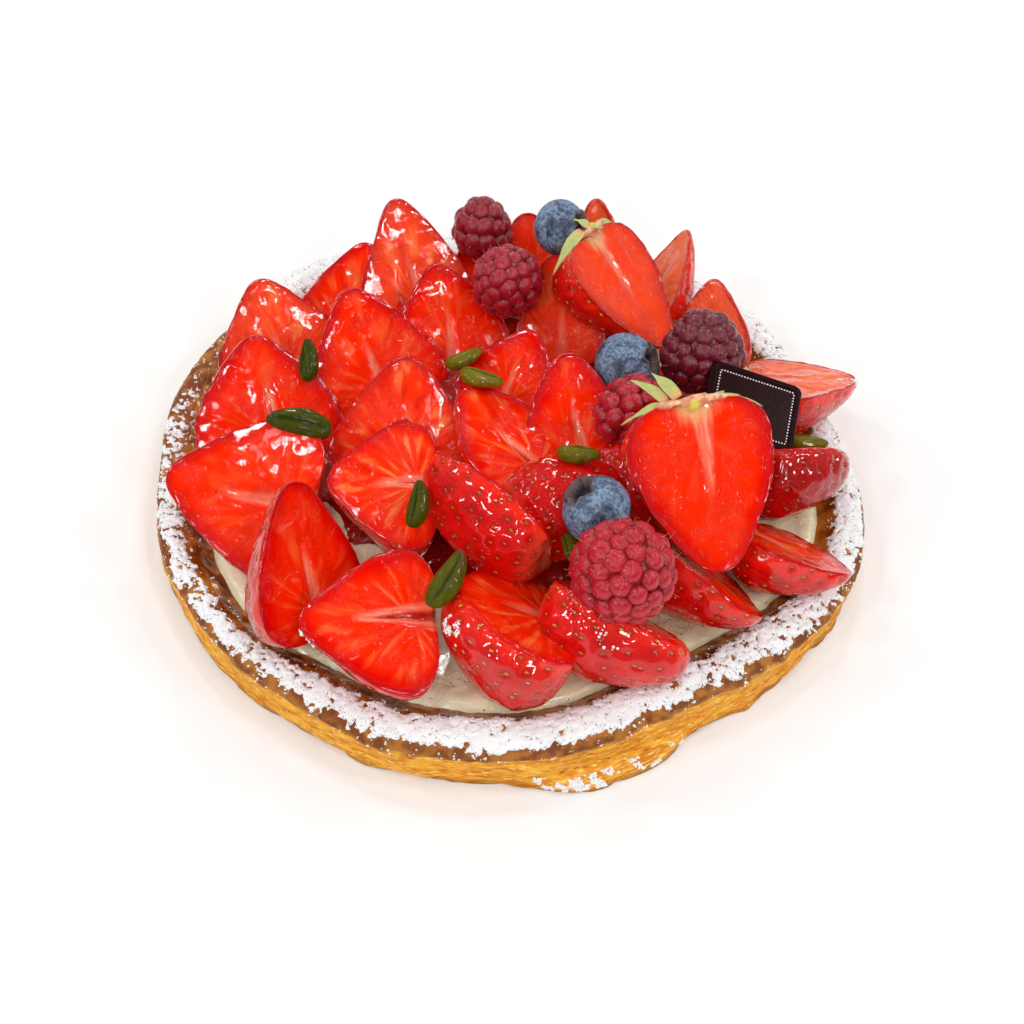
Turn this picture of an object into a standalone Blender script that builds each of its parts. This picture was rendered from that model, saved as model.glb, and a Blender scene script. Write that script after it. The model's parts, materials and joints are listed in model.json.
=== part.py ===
"""Strawberry tart: a round puff-pastry case, a bed of vanilla custard and a heap of cut strawberries,
raspberries, blueberries and pistachio kernels, with a small chocolate plaque.

The origin is at the centre of the underside. +Z is up, -Y is the front and the plaque stands at the
right. Lengths are in metres; the lists of fruit are in millimetres and degrees, to be read easily.
"""

import math

import bmesh
import bpy
from mathutils import Euler, Matrix, Vector
from mathutils.bvhtree import BVHTree

MM = 0.001
GAP = 0.3 * MM  # kept between pieces that touch

# The pastry case
TART_RADIUS = 91 * MM
WALL_HEIGHT = 11 * MM
CREST_RADIUS = 85.5 * MM
CREST_HEIGHT = 13.5 * MM
WELL_RADIUS = 78.5 * MM
FLOOR_THICKNESS = 5 * MM
LAYER_DEPTH = 0.5 * MM  # how far the flaky layers of the wall stand out
ROUND_SEGMENTS = 48
BED_SEGMENTS = 24  # of the hidden body that trims what rests on the case and the custard

# Where the case left the round as it baked: direction and spread in degrees, then how much further
# out the foot, the top of the wall and the well stand there, and how much higher the rim is, in mm
CASE_SWELLS = [
    (302, 21, -3.5, -5.5, -6, 1),
    (222, 15, 0.5, 0.3, 3, 0),
    (133, 14, 1.5, 2.5, 1, 1.5),
    (16, 20, -2, -4.5, -2, 0),
    (348, 10, 0, 0, 1.5, 0),
    (194, 12, -0.5, -1.5, 0, 0),
]

# The custard
CUSTARD_EDGE_HEIGHT = 9.8 * MM
CUSTARD_MOUND = 8 * MM  # how much higher it lies in the middle

# The top of the rim from the wall to the custard: radius and height
RIM_PROFILE = [
    (TART_RADIUS - 1.5 * MM, CREST_HEIGHT - 0.9 * MM),
    (CREST_RADIUS, CREST_HEIGHT),
    (CREST_RADIUS - 3.5 * MM, CREST_HEIGHT - 0.9 * MM),
    (WELL_RADIUS, CUSTARD_EDGE_HEIGHT),
]

# Strawberry pieces: how pointed they are, how deep they are for their width, and how far the cut
# lies above the axis of the berry, as a part of its half-depth
STRAWBERRY_SHAPES = {
    "heart": (0.58, 0.42, 0),
    "cone": (0.45, 0.46, 0),
    "plump": (0.35, 0.44, 0.3),
    "blunt": (0.12, 0.50, 0),
}
STRAWBERRY_SEGMENTS = 12
STRAWBERRY_RINGS = 7

# Each piece: shape, middle of the cut face (x, y, z), heading of the tip, lean of the tip above the
# horizontal, turn about the axis, length, width. Pieces higher in the heap come first: the later
# ones are pressed flat where an earlier one lies against them.
STRAWBERRIES = [
    ("cone", 43, -35, 41, -71, -41, 0, 39, 34),
    ("cone", 27, 35, 38, -40, -35, -15, 36, 35),
    ("plump", 3, -61, 26, 185, 25, 15, 28, 36),
    ("heart", -27, -66, 25, 190, 5, -10, 30, 34),
    ("cone", -42, -54, 27, 110, 42, 28, 36, 30),
    ("heart", -61, -33, 25, 175, 5, -32, 36, 38),
    ("plump", 27, -58, 23, -30, 0, -50, 34, 31),
    ("cone", 46, -44, 22, -49, 0, -45, 32, 32),
    ("cone", 67, -35, 21, -32, 5, -35, 27, 28),
    ("blunt", -3, -36, 29, 142, 5, 75, 37, 27),
    ("heart", -29, -29, 27, 187, 5, -5, 26, 38),
    ("cone", -1, -12, 28, 138, 15, 12, 33, 33),
    ("plump", 68, -7, 24, 10, 0, -52, 28, 28),
    ("cone", 75, 24, 21, 0, 5, -25, 28, 34),
    ("heart", -27, -10, 28, 90, 42, 0, 32, 35),
    ("heart", -62, -3, 25, 108, 42, 0, 32, 37),
    ("cone", 14, -6, 30, 106, 42, -20, 31, 25),
    ("heart", -38, 15, 27, 123, 42, 0, 34, 37),
    ("heart", -63, 20, 25, 120, 42, 0, 32, 36),
    ("heart", -1, 10, 27, 70, 42, 0, 25, 28),
    ("heart", -20, 30, 27, 112, 42, 0, 30, 32),
    ("cone", 9, 32, 30, 98, 45, -30, 31, 25),
    ("heart", -46, 41, 23, 80, 42, 0, 31, 32),
    ("heart", -31, 48, 29, 115, 42, 0, 39, 32),
    ("heart", 51, 41, 22, 88, 40, -30, 27, 25),
    ("heart", 39, 60, 24, 55, 50, -40, 28, 25),
    ("cone", 20, 67, 25, 103, 50, -40, 30, 18),
    ("cone", 1, 60, 24, 103, 50, 0, 29, 24),
    ("plump", 15, -29, 21, 25, 5, 180, 32, 26),
    ("plump", 31, -22, 22, -60, 0, 180, 26, 22),
    ("cone", -12, 53, 25, 118, 20, 0, 22, 22),
    ("cone", 27, 46, 21, -128, 0, 0, 22, 22),
    ("cone", 45, -14, 26, -93, 0, 0, 30, 24),
    ("cone", 37, 14, 18, 34, 0, 180, 26, 22),
    ("cone", 57, 19, 19, 6, 0, 0, 22, 22),
]

# Raspberries: middle (x, y, z), heading of the tip, lean of the tip, length, width
RASPBERRIES = [
    (24, -58, 38, 200, 55, 21.5, 22),
    (27, -10, 36, 200, 10, 18, 18.5),
    (45, 12, 38, 100, 65, 21, 20.5),
    (-5, 34, 38, 250, 40, 19, 18.5),
    (-13, 59, 36, 80, 75, 17, 16.5),
]
RASPBERRY_ROWS = 7
RASPBERRY_DRUPELETS = 10  # round each row
DRUPELET_RELIEF = 0.07

# Blueberries: middle (x, y, z), heading of the crown, lean of the crown, width
BLUEBERRIES = [
    (19, -42, 38, 170, 50, 15.2),
    (26, 7, 36, -10, 30, 16.2),
    (8, 49, 45, -20, 25, 14.6),
]

# Pistachio kernels: middle (x, y, z), heading, lean, length
PISTACHIOS = [
    (-52, 5, 32, 95, 30, 11),
    (-50, -18, 33, 175, 5, 15.5),
    (-20, -40, 33, 85, 30, 12),
    (-12, -60, 33, 62, 25, 15.5),
    (-14, 12, 30, 25, 15, 10),
    (-9, 2, 33, -15, 0, 11),
    (15, -24, 36, -5, 5, 10),
    (14, -44, 28, 110, 10, 9),
    (72, -5, 26, 0, 0, 10),
]

# The chocolate plaque: middle, size, and how it stands
PLAQUE_MIDDLE = (56, -4, 35)
PLAQUE_WIDTH = 24 * MM
PLAQUE_HEIGHT = 18 * MM
PLAQUE_THICKNESS = 3.5 * MM
PLAQUE_TILT = (26, 16, -2)


def clear_scene():
    for obj in list(bpy.data.objects):
        bpy.data.objects.remove(obj)


def finish(obj, colour, roughness, metallic=0.0):
    """Gives an object its own plain material."""
    material = bpy.data.materials.new(obj.name + "_finish")
    material.use_nodes = True
    shader = material.node_tree.nodes["Principled BSDF"]
    shader.inputs["Base Color"].default_value = (*colour, 1)
    shader.inputs["Roughness"].default_value = roughness
    shader.inputs["Metallic"].default_value = metallic
    obj.data.materials.append(material)


def add_piece(name, mesh, middle=(0, 0, 0), rotation=(0, 0, 0)):
    """Makes an object of a bmesh. The middle is in millimetres and the rotation in degrees."""
    data = bpy.data.meshes.new(name)
    if mesh.calc_volume(signed=True) < 0:
        bmesh.ops.reverse_faces(mesh, faces=mesh.faces)
    bmesh.ops.triangulate(mesh, faces=[face for face in mesh.faces if len(face.verts) == 4])
    mesh.to_mesh(data)
    mesh.free()
    data.shade_smooth()
    data.set_sharp_from_angle(angle=math.radians(40))
    obj = bpy.data.objects.new(name, data)
    obj.location = Vector(middle) * MM
    obj.rotation_euler = Euler([math.radians(angle) for angle in rotation])
    bpy.context.scene.collection.objects.link(obj)
    return obj


def turned_body(profile, segments, uneven):
    """A closed body of revolution from (radius, height) points that start and end on the axis.
    uneven(radius, height, angle) returns the radius and height of a point of it."""
    mesh = bmesh.new()
    bottom = mesh.verts.new((0, 0, profile[0][1]))
    top = mesh.verts.new((0, 0, profile[-1][1]))
    rings = []
    for radius, height in profile[1:-1]:
        ring = []
        for index in range(segments):
            angle = math.tau * index / segments
            r, z = uneven(radius, height, angle)
            ring.append(mesh.verts.new((r * math.cos(angle), r * math.sin(angle), z)))
        rings.append(ring)
    for index in range(segments):
        after = (index + 1) % segments
        mesh.faces.new((bottom, rings[0][after], rings[0][index]))
        mesh.faces.new((top, rings[-1][index], rings[-1][after]))
        for lower, upper in zip(rings, rings[1:]):
            mesh.faces.new((lower[index], lower[after], upper[after], upper[index]))
    return mesh


def between(low, high, share):
    return low + (high - low) * min(1, max(0, share))


def hand_shaped(radius, height, angle):
    """Moves a point of the round case or custard to where the uneven, hand-filled case has it."""
    from_middle = min(1, radius / WELL_RADIUS)
    to_rim = (radius - WELL_RADIUS) / (TART_RADIUS - LAYER_DEPTH - WELL_RADIUS)
    out = 0.25 * math.sin(7 * angle + 2) + 0.2 * math.sin(13 * angle)
    up = 0.25 * math.sin(5 * angle + 1) + 0.2 * math.sin(11 * angle)
    for direction, spread, foot, top, well, rise in CASE_SWELLS:
        off = math.remainder(angle - math.radians(direction), math.tau) / math.radians(spread)
        bell = math.exp(-(abs(off) ** 3))
        wall = between(foot, top, height / WALL_HEIGHT)
        out += bell * between(well, wall, to_rim)
        up += bell * rise * min(1, max(0, to_rim * 3))
    lift = up * min(1, max(0, height / CUSTARD_EDGE_HEIGHT - 0.6)) * from_middle
    return radius + out * from_middle * MM, height + lift * MM


def make_case():
    """The case: floor, flaky wall, rounded rim and the slope down to the well."""
    wall = []
    layers = 6
    for layer in range(layers + 1):
        out = LAYER_DEPTH if layer % 2 else 0
        wall.append((TART_RADIUS - LAYER_DEPTH + out, WALL_HEIGHT * layer / layers))
    well = [(WELL_RADIUS - 1 * MM, FLOOR_THICKNESS), (0, FLOOR_THICKNESS)]
    profile = [(0, 0), (TART_RADIUS - 12 * MM, 0), *wall, *RIM_PROFILE, *well]
    case = add_piece("pastry_case", turned_body(profile, ROUND_SEGMENTS, hand_shaped))
    finish(case, (0.62, 0.33, 0.09), 0.6)
    return case


def custard_height(radius):
    """Height of the custard's surface: nearly level at the edge and mounded in the middle."""
    share = min(1, radius / (0.8 * WELL_RADIUS))
    return CUSTARD_EDGE_HEIGHT - GAP + CUSTARD_MOUND * (1 - share**2)


def make_custard():
    """The custard fills the well of the case up to its surface."""
    edge = WELL_RADIUS - GAP
    floor = FLOOR_THICKNESS + GAP
    profile = [(0, floor), (edge - 1 * MM, floor)]
    for share in (1, 0.85, 0.6, 0.3, 0):
        radius = edge * share
        profile.append((radius, custard_height(radius)))
    custard = add_piece("custard", turned_body(profile, ROUND_SEGMENTS, hand_shaped))
    finish(custard, (0.80, 0.66, 0.42), 0.35)
    return custard


def berry_solid(length, width, half_depth, taper, segments, rings):
    """A whole berry along X with its tip at +X: a ball drawn out to a rounded cone."""
    mesh = bmesh.new()
    bmesh.ops.create_uvsphere(mesh, u_segments=segments, v_segments=rings, radius=1)
    steps = [math.pi * step / 60 for step in range(61)]
    widest = max(math.sin(a) * (1 - taper * math.cos(a)) for a in steps)
    for vert in mesh.verts:
        side, up, along = vert.co
        swell = (1 - taper * along) / widest
        vert.co = (along * length / 2, side * swell * width / 2, up * swell * half_depth)
    return mesh


def strawberry_rotation(heading, lean, turn):
    """Heading and lean point the tip, and turn rolls the cut face about the axis."""
    return (turn, -lean, heading)


def make_strawberry(number, shape, x, y, z, heading, lean, turn, length, width):
    """A strawberry sliced lengthwise: the cut face looks along its local +Z."""
    taper, depth_share, cut_share = STRAWBERRY_SHAPES[shape]
    half_depth = depth_share * width * MM
    cut = cut_share * half_depth
    segments, rings = STRAWBERRY_SEGMENTS, STRAWBERRY_RINGS
    mesh = berry_solid(length * MM, width * MM, half_depth, taper, segments, rings)
    everything = mesh.verts[:] + mesh.edges[:] + mesh.faces[:]
    sliced = bmesh.ops.bisect_plane(
        mesh, geom=everything, plane_co=(0, 0, cut), plane_no=(0, 0, 1), clear_outer=True
    )
    rim = [item for item in sliced["geom_cut"] if isinstance(item, bmesh.types.BMEdge)]
    bmesh.ops.edgeloop_fill(mesh, edges=rim)
    bmesh.ops.translate(mesh, verts=mesh.verts, vec=(0, 0, -cut))
    rotation = strawberry_rotation(heading, lean, turn)
    piece = add_piece(f"strawberry_{number:02d}", mesh, (x, y, z), rotation)
    finish(piece, (0.75, 0.04, 0.02), 0.25)
    return piece


def make_raspberry(number, x, y, z, heading, lean, length, width):
    """A raspberry: a rounded cone whose drupelets stand out in staggered rows."""
    columns = 2 * RASPBERRY_DRUPELETS
    mesh = berry_solid(length * MM, width * MM, width * MM / 2, 0.18, columns // 2, RASPBERRY_ROWS + 2)
    for vert in mesh.verts:
        along, side, up = vert.co
        row = round((RASPBERRY_ROWS + 2) * math.acos(max(-1, min(1, 2 * along / (length * MM)))) / math.pi)
        column = round(columns / 2 * (math.atan2(up, side) / math.tau + 0.5))
        high = (row + column) % 2 == 0
        vert.co *= 1 + (DRUPELET_RELIEF if high else 0) - DRUPELET_RELIEF / 2
    piece = add_piece(f"raspberry_{number}", mesh, (x, y, z), (0, -lean, heading))
    finish(piece, (0.42, 0.02, 0.07), 0.45)
    return piece


def make_blueberry(number, x, y, z, heading, lean, width):
    """A blueberry: a slightly flattened ball with the crown's rim and hollow at its +X end."""
    mesh = bmesh.new()
    bmesh.ops.create_uvsphere(mesh, u_segments=12, v_segments=7, radius=1)
    for vert in mesh.verts:
        side, up, along = vert.co
        off_axis = math.hypot(side, up)
        if along > 0.9:
            along = 0.84 if off_axis < 0.2 else 1.02
        elif along > 0.7:
            along *= 0.98
        vert.co = Vector((0.92 * along, side, up)) * width * MM / 2
    piece = add_piece(f"blueberry_{number}", mesh, (x, y, z), (0, -lean, heading))
    finish(piece, (0.06, 0.10, 0.22), 0.55)
    return piece


def make_pistachio(number, x, y, z, heading, lean, length):
    """A shelled pistachio kernel: a long, slightly bent and flattened oval."""
    mesh = bmesh.new()
    bmesh.ops.create_uvsphere(mesh, u_segments=8, v_segments=5, radius=1)
    for vert in mesh.verts:
        side, up, along = vert.co
        bend = 0.12 * (along**2 - 0.5)
        fat = 0.24 * (1 - 0.18 * along)
        vert.co = Vector((0.5 * along, fat * side + bend * 0.5, fat * 0.85 * up)) * length * MM
    piece = add_piece(f"pistachio_{number}", mesh, (x, y, z), (0, -lean, heading))
    finish(piece, (0.12, 0.22, 0.03), 0.4)
    return piece


def make_plaque():
    """The chocolate plaque: a small moulded tile with rounded edges."""
    mesh = bmesh.new()
    bmesh.ops.create_cube(mesh, size=1)
    size = Vector((PLAQUE_WIDTH, PLAQUE_HEIGHT, PLAQUE_THICKNESS))
    bmesh.ops.scale(mesh, vec=size, verts=mesh.verts)
    plaque = add_piece("chocolate_plaque", mesh, PLAQUE_MIDDLE, PLAQUE_TILT)
    rounding = plaque.modifiers.new("rounded_edges", "BEVEL")
    rounding.width = 0.8 * MM
    rounding.segments = 1
    finish(plaque, (0.045, 0.02, 0.018), 0.3)
    return plaque


def hide(cutter):
    cutter.hide_render = True
    cutter.display_type = "WIRE"


def surface_of(obj):
    """The object's own surface in world space, to find what it runs into."""
    mesh = bmesh.new()
    mesh.from_mesh(obj.data)
    mesh.transform(obj.matrix_world)
    tree = BVHTree.FromBMesh(mesh)
    mesh.free()
    return tree


def make_clearance(obj):
    """A hidden copy that is larger than the object by the gap on every side."""
    mesh = bmesh.new()
    mesh.from_mesh(obj.data)
    low = Vector([min(vert.co[axis] for vert in mesh.verts) for axis in range(3)])
    high = Vector([max(vert.co[axis] for vert in mesh.verts) for axis in range(3)])
    middle = (low + high) / 2
    grown = [(side + 2.4 * GAP) / side for side in high - low]
    scale = Matrix.Diagonal((*grown, 1))
    mesh.transform(Matrix.Translation(middle) @ scale @ Matrix.Translation(-middle))
    data = bpy.data.meshes.new(obj.name + "_clearance")
    mesh.to_mesh(data)
    mesh.free()
    cutter = bpy.data.objects.new(data.name, data)
    cutter.matrix_world = obj.matrix_world
    hide(cutter)
    bpy.context.scene.collection.objects.link(cutter)
    return cutter


def make_bed_clearance():
    """A hidden body just above the custard and the case's rim, to trim what rests on them."""
    profile = [(0, -5 * MM), (TART_RADIUS + 5 * MM, -5 * MM), (TART_RADIUS + 5 * MM, 8 * MM)]
    profile += [(radius, height + 3 * GAP) for radius, height in RIM_PROFILE]
    for share in (0.7, 0.35, 0):
        radius = WELL_RADIUS * share
        profile.append((radius, custard_height(radius) + 3 * GAP))
    bed = add_piece("bed_clearance", turned_body(profile, BED_SEGMENTS, hand_shaped))
    hide(bed)
    return bed


def press(piece, cutter):
    """Flattens a piece where something lies against it."""
    # The exact solver leaves open edges where two rounded pieces only just touch,
    # and the manifold solver closes every one of them.
    flat = piece.modifiers.new("pressed_by_" + cutter.name, "BOOLEAN")
    flat.operation = "DIFFERENCE"
    flat.solver = "MANIFOLD"
    flat.object = cutter


def settle(pieces, bed):
    """Trims each piece against the bed and against every earlier piece that it runs into."""
    bed_surface = surface_of(bed)
    settled = []
    for piece in pieces:
        surface = surface_of(piece)
        for other, other_surface in [*settled, (bed, bed_surface)]:
            if surface.overlap(other_surface):
                press(piece, other)
        cutter = make_clearance(piece)
        bpy.context.view_layer.update()
        settled.append((cutter, surface_of(cutter)))


def main():
    clear_scene()
    case = make_case()
    custard = make_custard()
    berries = [make_raspberry(n, *row) for n, row in enumerate(RASPBERRIES, 1)]
    berries += [make_blueberry(n, *row) for n, row in enumerate(BLUEBERRIES, 1)]
    nuts = [make_pistachio(n, *row) for n, row in enumerate(PISTACHIOS, 1)]
    strawberries = [make_strawberry(n, *row) for n, row in enumerate(STRAWBERRIES, 1)]
    toppings = [*berries, *nuts, strawberries[0], make_plaque(), *strawberries[1:]]
    bpy.context.view_layer.update()
    settle(toppings, make_bed_clearance())
    tart = bpy.data.objects.new("tart", None)
    bpy.context.scene.collection.objects.link(tart)
    for piece in [case, custard, *toppings]:
        piece.parent = tart


main()
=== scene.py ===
# Strawberry tart: the finish of a round puff-pastry case with vanilla custard, cut strawberries,
# raspberries, blueberries, pistachio kernels, a chocolate plaque, glaze and icing sugar.
# The pieces are given in millimetres and degrees, and made in metres. The tips of the fruit point
# along their local +X, and the cut faces of the strawberries look along their local +Z.

import json
import math

import bpy
import numpy as np
from mathutils import Euler, Matrix, Vector

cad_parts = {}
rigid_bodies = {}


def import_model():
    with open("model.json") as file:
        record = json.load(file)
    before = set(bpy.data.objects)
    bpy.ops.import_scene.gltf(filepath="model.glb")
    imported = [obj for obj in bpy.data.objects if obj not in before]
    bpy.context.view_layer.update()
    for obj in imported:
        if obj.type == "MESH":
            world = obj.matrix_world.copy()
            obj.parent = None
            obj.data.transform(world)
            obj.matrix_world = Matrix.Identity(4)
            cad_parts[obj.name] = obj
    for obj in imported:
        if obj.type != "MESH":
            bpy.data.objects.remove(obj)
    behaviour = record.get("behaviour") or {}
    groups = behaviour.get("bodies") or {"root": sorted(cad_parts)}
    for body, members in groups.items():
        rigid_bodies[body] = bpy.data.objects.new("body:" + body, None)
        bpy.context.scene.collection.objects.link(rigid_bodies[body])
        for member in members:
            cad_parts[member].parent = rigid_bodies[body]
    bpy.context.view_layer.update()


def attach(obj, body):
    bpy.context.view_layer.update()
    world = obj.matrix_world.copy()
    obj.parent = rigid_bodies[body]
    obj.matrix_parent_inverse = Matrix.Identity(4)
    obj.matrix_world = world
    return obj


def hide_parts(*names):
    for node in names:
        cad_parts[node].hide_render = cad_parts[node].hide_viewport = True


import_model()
MM = 0.001

# --------------------------------------
# The pastry case: a round of puff pastry with a rolled-in rim, baked in a ring. Its wall shows
# golden flaky layers, the rim is toasted brown, and the slope to the custard is brushed with
# syrup, which baked to a dark shiny caramel.
# --------------------------------------
WELL_RADIUS = 78.5
TART_RADIUS = 91
WALL_RADIUS = 90.6
WALL_HEIGHT = 11
CUSTARD_EDGE_HEIGHT = 9.8
CASE_SEGMENTS = 600
CASE_FLOOR = 5.2
# The outside of the case from its foot over the rim and down to the custard: radius and height
CASE_CORNERS = [
    (90.3, 0.15), (WALL_RADIUS, WALL_HEIGHT), (89.5, 12.6), (85.5, 13.5), (82, 12.6),
    (WELL_RADIUS, CUSTARD_EDGE_HEIGHT), (76.5, 8.2),
]
# Where the case left the round as it baked: direction and spread in degrees, then how much further
# out the foot, the top of the wall and the well stand there, and how much higher the rim is
CASE_SWELLS = [
    (302, 21, -3.5, -5.5, -6, 1), (222, 15, 0.5, 0.3, 3, 0), (133, 14, 1.5, 2.5, 1, 1.5),
    (16, 20, -2, -4.5, -2, 0), (348, 10, 0, 0, 1.5, 0), (194, 12, -0.5, -1.5, 0, 0),
]
# The lowest layers stand out in one place at the foot, like a loose flake
FLAKE_DIRECTION = 288
FLAKE_SPREAD = 10
FLAKE_REACH = 3
# The foot and the inside of the case, which nobody sees: radius and height of two rings each
CASE_FOOT = [(60, 0), (86, 0)]
CASE_INSIDE = [(76, CASE_FLOOR), (40, CASE_FLOOR)]
INSIDE_CLIMB = 30


def lumps(points, size, seed=0):
    """Smooth uneven values from -1 to 1 at the points: one random value at each knot of a lattice
    whose cells have the given size, and an even blend between them."""
    cell = np.asarray(points, float) / size
    knot = np.floor(cell).astype(np.int64)
    part = cell - knot
    part = part * part * (3 - 2 * part)
    total = np.zeros(len(cell))
    for corner in np.ndindex(2, 2, 2):
        at = knot + corner
        mixed = at[:, 0] * 374761393 + at[:, 1] * 668265263 + at[:, 2] * 1440662683 + seed * 97531
        mixed = (mixed ^ (mixed >> 13)) * 1274126177
        value = ((mixed ^ (mixed >> 16)) & 0xFFFF) / 32767.5 - 1
        total += value * np.prod(np.where(corner, part, 1 - part), axis=1)
    return total


def between(low, high, share):
    return low + (high - low) * np.clip(share, 0, 1)


def eased(low, high, value):
    """Rises smoothly from 0 at low to 1 at high."""
    share = np.clip((value - low) / (high - low), 0, 1)
    return share * share * (3 - 2 * share)


def hand_shaped(radius, height, angle):
    """Moves points of the round case or custard to where the uneven, hand-filled case has them."""
    from_middle = np.minimum(1, radius / WELL_RADIUS)
    to_rim = (radius - WELL_RADIUS) / (TART_RADIUS - 0.5 - WELL_RADIUS)
    out = 0.25 * np.sin(7 * angle + 2) + 0.2 * np.sin(13 * angle)
    up = 0.25 * np.sin(5 * angle + 1) + 0.2 * np.sin(11 * angle)
    for direction, spread, foot, top, well, rise in CASE_SWELLS:
        off = (angle - math.radians(direction) + math.pi) % math.tau - math.pi
        bell = np.exp(-np.abs(off / math.radians(spread)) ** 3)
        wall = between(foot, top, height / WALL_HEIGHT)
        out = out + bell * between(well, wall, to_rim)
        up = up + bell * rise * np.clip(to_rim * 3, 0, 1)
    lift = up * np.clip(height / CUSTARD_EDGE_HEIGHT - 0.6, 0, 1) * from_middle
    return radius + out * from_middle, height + lift


def even_path(corners, step, softening):
    """Points at an even step along the line through the corners, with the corners rounded off."""
    corners = np.array(corners, float)
    travelled = np.concatenate([[0], np.cumsum(np.hypot(*np.diff(corners, axis=0).T))])
    stops = np.linspace(0, travelled[-1], round(travelled[-1] / step) + 1)
    path = np.column_stack([np.interp(stops, travelled, corners[:, axis]) for axis in (0, 1)])
    for _ in range(softening):
        path[1:-1] = (path[:-2] + 2 * path[1:-1] + path[2:]) / 4
    return path, stops


CASE_PATH, CASE_STOPS = even_path(CASE_CORNERS, 0.45, 4)
CASE_SLOPES = np.gradient(CASE_PATH, axis=0)
CASE_SLOPES /= np.linalg.norm(CASE_SLOPES, axis=1)[:, None]


def round_about(radius, angle, height):
    """x, y and z of points at this radius, angle and height."""
    across, ahead = radius * np.cos(angle), radius * np.sin(angle)
    return np.column_stack([across, ahead, height + np.zeros_like(angle)])


def case_point(climb, angle, out=0.0):
    """Points on the case: climb is the way from the foot over the rim, out is how far they stand
    proud of the surface."""
    radius, height, slope_out, slope_up = (
        np.interp(climb, CASE_STOPS, row) for row in (*CASE_PATH.T, *CASE_SLOPES.T)
    )
    radius, height = hand_shaped(radius + out * slope_up, height - out * slope_out, angle)
    return round_about(radius, angle, height)


def crust_relief(climb, angle):
    """How far the baked surface stands out: thin layers on the wall, blisters on the rim."""
    at = case_point(climb, angle)
    on_wall = 1 - eased(9.5, 12, climb)
    layers = lumps(at * (1, 1, 5.5), 4.5, 1) + 0.7 * lumps(at * (1, 1, 7), 1.9, 2)
    waves = lumps(at * (1, 1, 1.6), 11, 3)
    blisters = 0.28 * lumps(at, 2.6, 4) + 0.14 * lumps(at, 1.1, 5)
    ledge = 0.5 * np.tanh(3 * lumps(at * (1, 1, 2.6), 9, 6))
    direction = (np.degrees(angle) % 360 - FLAKE_DIRECTION) / FLAKE_SPREAD
    flake = FLAKE_REACH * np.exp(-(direction**4)) * eased(4.8, 2.6, climb)
    return on_wall * (0.4 * layers + 0.4 * waves + ledge - 0.5 + flake) + (1 - on_wall) * blisters


def grid_round(firsts, count):
    """Each of the first values at a count of even steps round the axis: two flat arrays."""
    angles = np.arange(count) * math.tau / count
    return (grid.ravel() for grid in np.meshgrid(firsts, angles, indexing="ij"))


def turned_faces(rings, segments):
    """Faces over a first pole, rings of equal size and a last pole, in that order of vertices."""
    here = np.arange(segments)
    after = np.roll(here, -1)
    end = 1 + rings * segments
    first = np.column_stack([np.zeros(segments, int), after + 1, here + 1])
    last = np.column_stack([np.full(segments, end), here + end - segments, after + end - segments])
    low = 1 + np.arange(rings - 1)[:, None] * segments
    quads = np.stack([low + here, low + after, low + segments + after, low + segments + here], 2)
    return first.tolist() + quads.reshape(-1, 4).tolist() + last.tolist()


def add_piece(name, points, faces, material, slot, replaces=(), values=None, matrix=None):
    """Makes a smooth mesh piece of points in millimetres, with named values at its points, attaches it
    to the root body and hides the parts of the model that it stands in for."""
    mesh = bpy.data.meshes.new(name)
    mesh.from_pydata((np.asarray(points) * MM).tolist(), [], faces)
    mesh.update()
    mesh.shade_smooth()
    for label, numbers in (values or {}).items():
        numbers = np.asarray(numbers, np.float32)
        vector = numbers.ndim == 2
        attribute = mesh.attributes.new(label, "FLOAT_VECTOR" if vector else "FLOAT", "POINT")
        attribute.data.foreach_set("vector" if vector else "value", numbers.ravel())
    mesh.materials.append(material)
    piece = bpy.data.objects.new(name, mesh)
    if matrix is not None:
        piece.matrix_world = matrix
    bpy.context.scene.collection.objects.link(piece)
    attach(piece, "root")
    if replaces:
        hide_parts(*replaces)
    return piece


def paint(red, green, blue):
    """A colour as a painter's chart gives it, from 0 to 255, as the linear colour a shader takes."""
    shares = (red / 255, green / 255, blue / 255)
    return (*(((c + 0.055) / 1.055) ** 2.4 if c > 0.04 else c / 12.92 for c in shares), 1)


under_way = {}  # the node tree, the shader and the place on the piece of the finish being made


def node(kind, inputs=None, **settings):
    """Adds a shader node. Its inputs are given as values or as the sockets that feed them."""
    made = under_way["tree"].nodes.new("ShaderNode" + kind)
    for name, value in settings.items():
        setattr(made, name, value)
    for name, value in (inputs or {}).items():
        if isinstance(value, bpy.types.NodeSocket):
            under_way["tree"].links.new(value, made.inputs[name])
        else:
            made.inputs[name].default_value = value
    return made


def value_of(label, kind="Fac"):
    """What a piece's points hold under this name: a number, or a vector if the kind says so."""
    return node("Attribute", attribute_name=label).outputs[kind]


def stretched(x, y, z, at=None):
    inputs = {0: at or under_way["place"], 1: (x, y, z)}
    return node("VectorMath", inputs, operation="MULTIPLY").outputs[0]


def mottle(size, detail=2.0, roughness=0.5, distortion=0.0, at=None):
    """Cloudy values from 0 to 1, with features of about the given size."""
    inputs = {"Vector": at or under_way["place"], "Scale": 1 / size, "Detail": detail,
              "Roughness": roughness, "Distortion": distortion}
    return node("TexNoise", inputs).outputs["Fac"]


def figure(operation, first, second=0.0, third=0.0):
    return node("Math", {0: first, 1: second, 2: third}, operation=operation).outputs[0]


def times(first, second):
    return figure("MULTIPLY", first, second)


def scaled(value, by, plus):
    return figure("MULTIPLY_ADD", value, by, plus)


def step_up(value, low, high):
    """Rises smoothly from 0 where value is low to 1 where it is high."""
    inputs = {"Value": value, "From Min": low, "From Max": high}
    return node("MapRange", inputs, interpolation_type="SMOOTHSTEP").outputs["Result"]


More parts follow.
